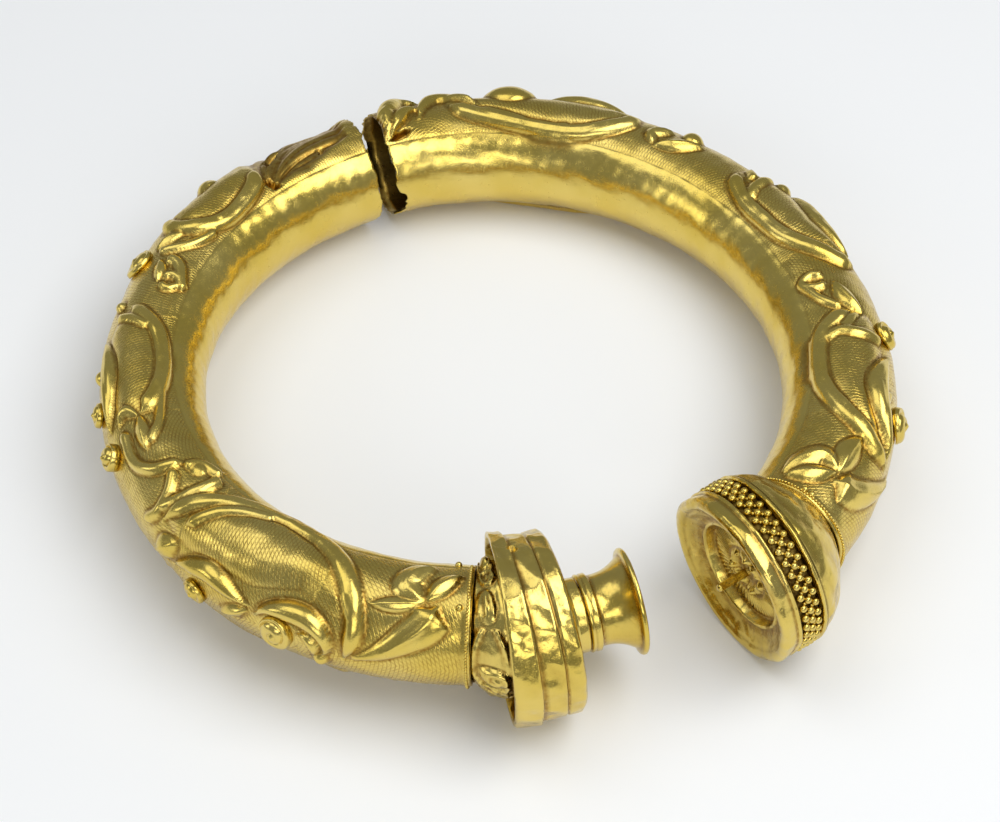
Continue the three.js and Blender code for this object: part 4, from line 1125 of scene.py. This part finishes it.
def beadPoints(size, between):
    # Staggered rows of beads, or the small grains halfway between diagonal neighbours
    out = []
    rows = cup["beadRows"] - (1 if between else 0)
    for row in range(rows):
        s = seatFrom + (seatTo - seatFrom) * (row + (1.0 if between else 0.5)) / cup["beadRows"]
        count = cup["beads"] * (2 if between else 1)
        k = (np.arange(count) + (0.5 if between else 0.5 * (row % 2))) / count
        out.append(cupAt(np.full(len(k), s), np.full(len(k), seatTop + size * 0.9), 2 * math.pi * k))
    return toRest(np.vstack(out))


# Dark seat in the channel: painted shade between the beads
seatProfile = [(seatFrom, seatUnder), (seatFrom, seatTop), (seatTo, seatTop), (seatTo, seatUnder)]
band = turnedPiece("beadSeat", seatProfile, cupAt, cup["seatAround"], None, 0.8)
give(band, channelShadeGold)
addPiece(band, "bead_band")
beads = grainPiece("beadRows", beadPoints(cup["bead"], False), cup["bead"] * mm, beaded, grains)
addPiece(beads, None)
smallPoints = beadPoints(cup["grain"], True)
smallBeads = grainPiece("beadGrains", smallPoints, cup["grain"] * mm, beaded, grains, scatter=0.15, seed=5)
addPiece(smallBeads, None)


def edgingPoints(side):
    half = halves[side]
    inward = -1 if half["seam"] > half["torn"] else 1
    angles = np.arange(-edging["reach"], edging["reach"] + 1, edging["apart"])
    bearings = np.full(len(angles), half["seam"] + inward * edging["fromEnd"])
    return toRest(onTube(half, bearings, angles, np.full(len(angles), edging["out"])))


for side in ("left", "right"):
    row = grainPiece(side + "Edging", edgingPoints(side), edging["radius"] * mm, beaded, grains)
    addPiece(row, None)
    places = np.array(ornament[side]["rivets"], float)
    heads = toRest(onTube(halves[side], places[:, 0], places[:, 1], np.full(len(places), rivet["out"])))
    rivets = grainPiece(side + "Rivets", heads, rivet["radius"] * mm, cast, grains)
    addPiece(rivets, None)
print("beads and edging")


# Camera set from the same ring frame as the object
view = {"elevation": 45.665, "distance": 750.0, "target": (0.483, -13.044), "roll": -0.769, "lens": 112.66}


def placeCamera():
    e = view["elevation"] * deg
    ahead = np.array([0, math.cos(e), -math.sin(e)])
    at = np.array([view["target"][0], view["target"][1], 0]) - view["distance"] * ahead
    right = np.array([1.0, 0, 0])
    up = np.cross(right, ahead)
    c, s = math.cos(view["roll"] * deg), math.sin(view["roll"] * deg)
    sideways = right * c + up * s
    upward = -right * s + up * c
    data = bpy.data.cameras.new("camera")
    data.lens = view["lens"]
    data.sensor_width = 36
    data.clip_start = 0.01
    camera = bpy.data.objects.new("camera", data)
    bpy.context.scene.collection.objects.link(camera)
    axes = np.stack([restTurn @ sideways, restTurn @ upward, -(restTurn @ ahead)], 1)
    place = (restTurn @ at + restShift) * mm
    matrix = Matrix([list(axes[i]) + [place[i]] for i in range(3)] + [[0, 0, 0, 1]])
    camera.matrix_world = matrix
    bpy.context.scene.camera = camera


placeCamera()

studio = {"floor": (0.95, 0.955, 0.955), "reach": 3.0, "world": 0.3, "sky": (0.9, 0.95, 1.0)}

# Soft lights: place across, away from the camera and up, aim height, size, power
lights = {
    "main": ((0.5, -0.2, 1.0), 0.0, (1.0, 0.8), 8.0),
    "overhead": ((-0.4, 0.15, 1.1), 0.0, (0.8, 0.8), 2.5),
    "front": ((0.1, -0.9, 0.5), 0.0, (0.8, 0.3), 1.7),
    "leftSide": ((-0.9, -0.2, 0.4), 0.02, (0.3, 0.4), 0.7),
}


def floorPiece():
    mesh = bpy.data.meshes.new("floor")
    reach = studio["reach"]
    mesh.from_pydata([(-reach, -reach, 0), (reach, -reach, 0), (reach, reach, 0), (-reach, reach, 0)], [],
                     [(0, 1, 2, 3)])
    obj = bpy.data.objects.new("floor", mesh)
    bpy.context.scene.collection.objects.link(obj)
    material = bpy.data.materials.new("Paper floor")
    material.use_nodes = True
    nodes = material.node_tree.nodes
    links = material.node_tree.links
    shader = nodes["Principled BSDF"]
    grain = nodes.new("ShaderNodeTexNoise")
    grain.inputs["Scale"].default_value = 3.0
    where = nodes.new("ShaderNodeTexCoord")
    links.new(where.outputs["Object"], grain.inputs["Vector"])
    ramp = nodes.new("ShaderNodeValToRGB")
    ramp.color_ramp.elements[0].color = tuple(c * 0.985 for c in studio["floor"]) + (1,)
    ramp.color_ramp.elements[1].color = studio["floor"] + (1,)
    links.new(grain.outputs["Fac"], ramp.inputs["Fac"])
    links.new(ramp.outputs["Color"], shader.inputs["Base Color"])
    shader.inputs["Roughness"].default_value = 0.7
    obj.data.materials.append(material)


floorPiece()


def viewSide(across, away, up):
    # A place given across and away from the camera's view, turned into the resting frame
    c, s = math.cos(ring["turn"] * deg), math.sin(ring["turn"] * deg)
    return Vector((across * c - away * s, across * s + away * c, up))


def softBox(name, place, aimHeight, size, power):
    data = bpy.data.lights.new(name, "AREA")
    data.shape = "RECTANGLE"
    data.size, data.size_y = size
    data.energy = power
    obj = bpy.data.objects.new(name, data)
    obj.location = viewSide(*place)
    obj.rotation_euler = (Vector((0, 0, aimHeight)) - obj.location).to_track_quat("-Z", "Y").to_euler()
    bpy.context.scene.collection.objects.link(obj)


for name, settings in lights.items():
    softBox(name, *settings)

world = bpy.data.worlds.new("studio")
world.use_nodes = True
background = world.node_tree.nodes["Background"]
background.inputs["Color"].default_value = studio["sky"] + (1,)
background.inputs["Strength"].default_value = studio["world"]
bpy.context.scene.world = world
bpy.context.scene.view_settings.view_transform = "Standard"
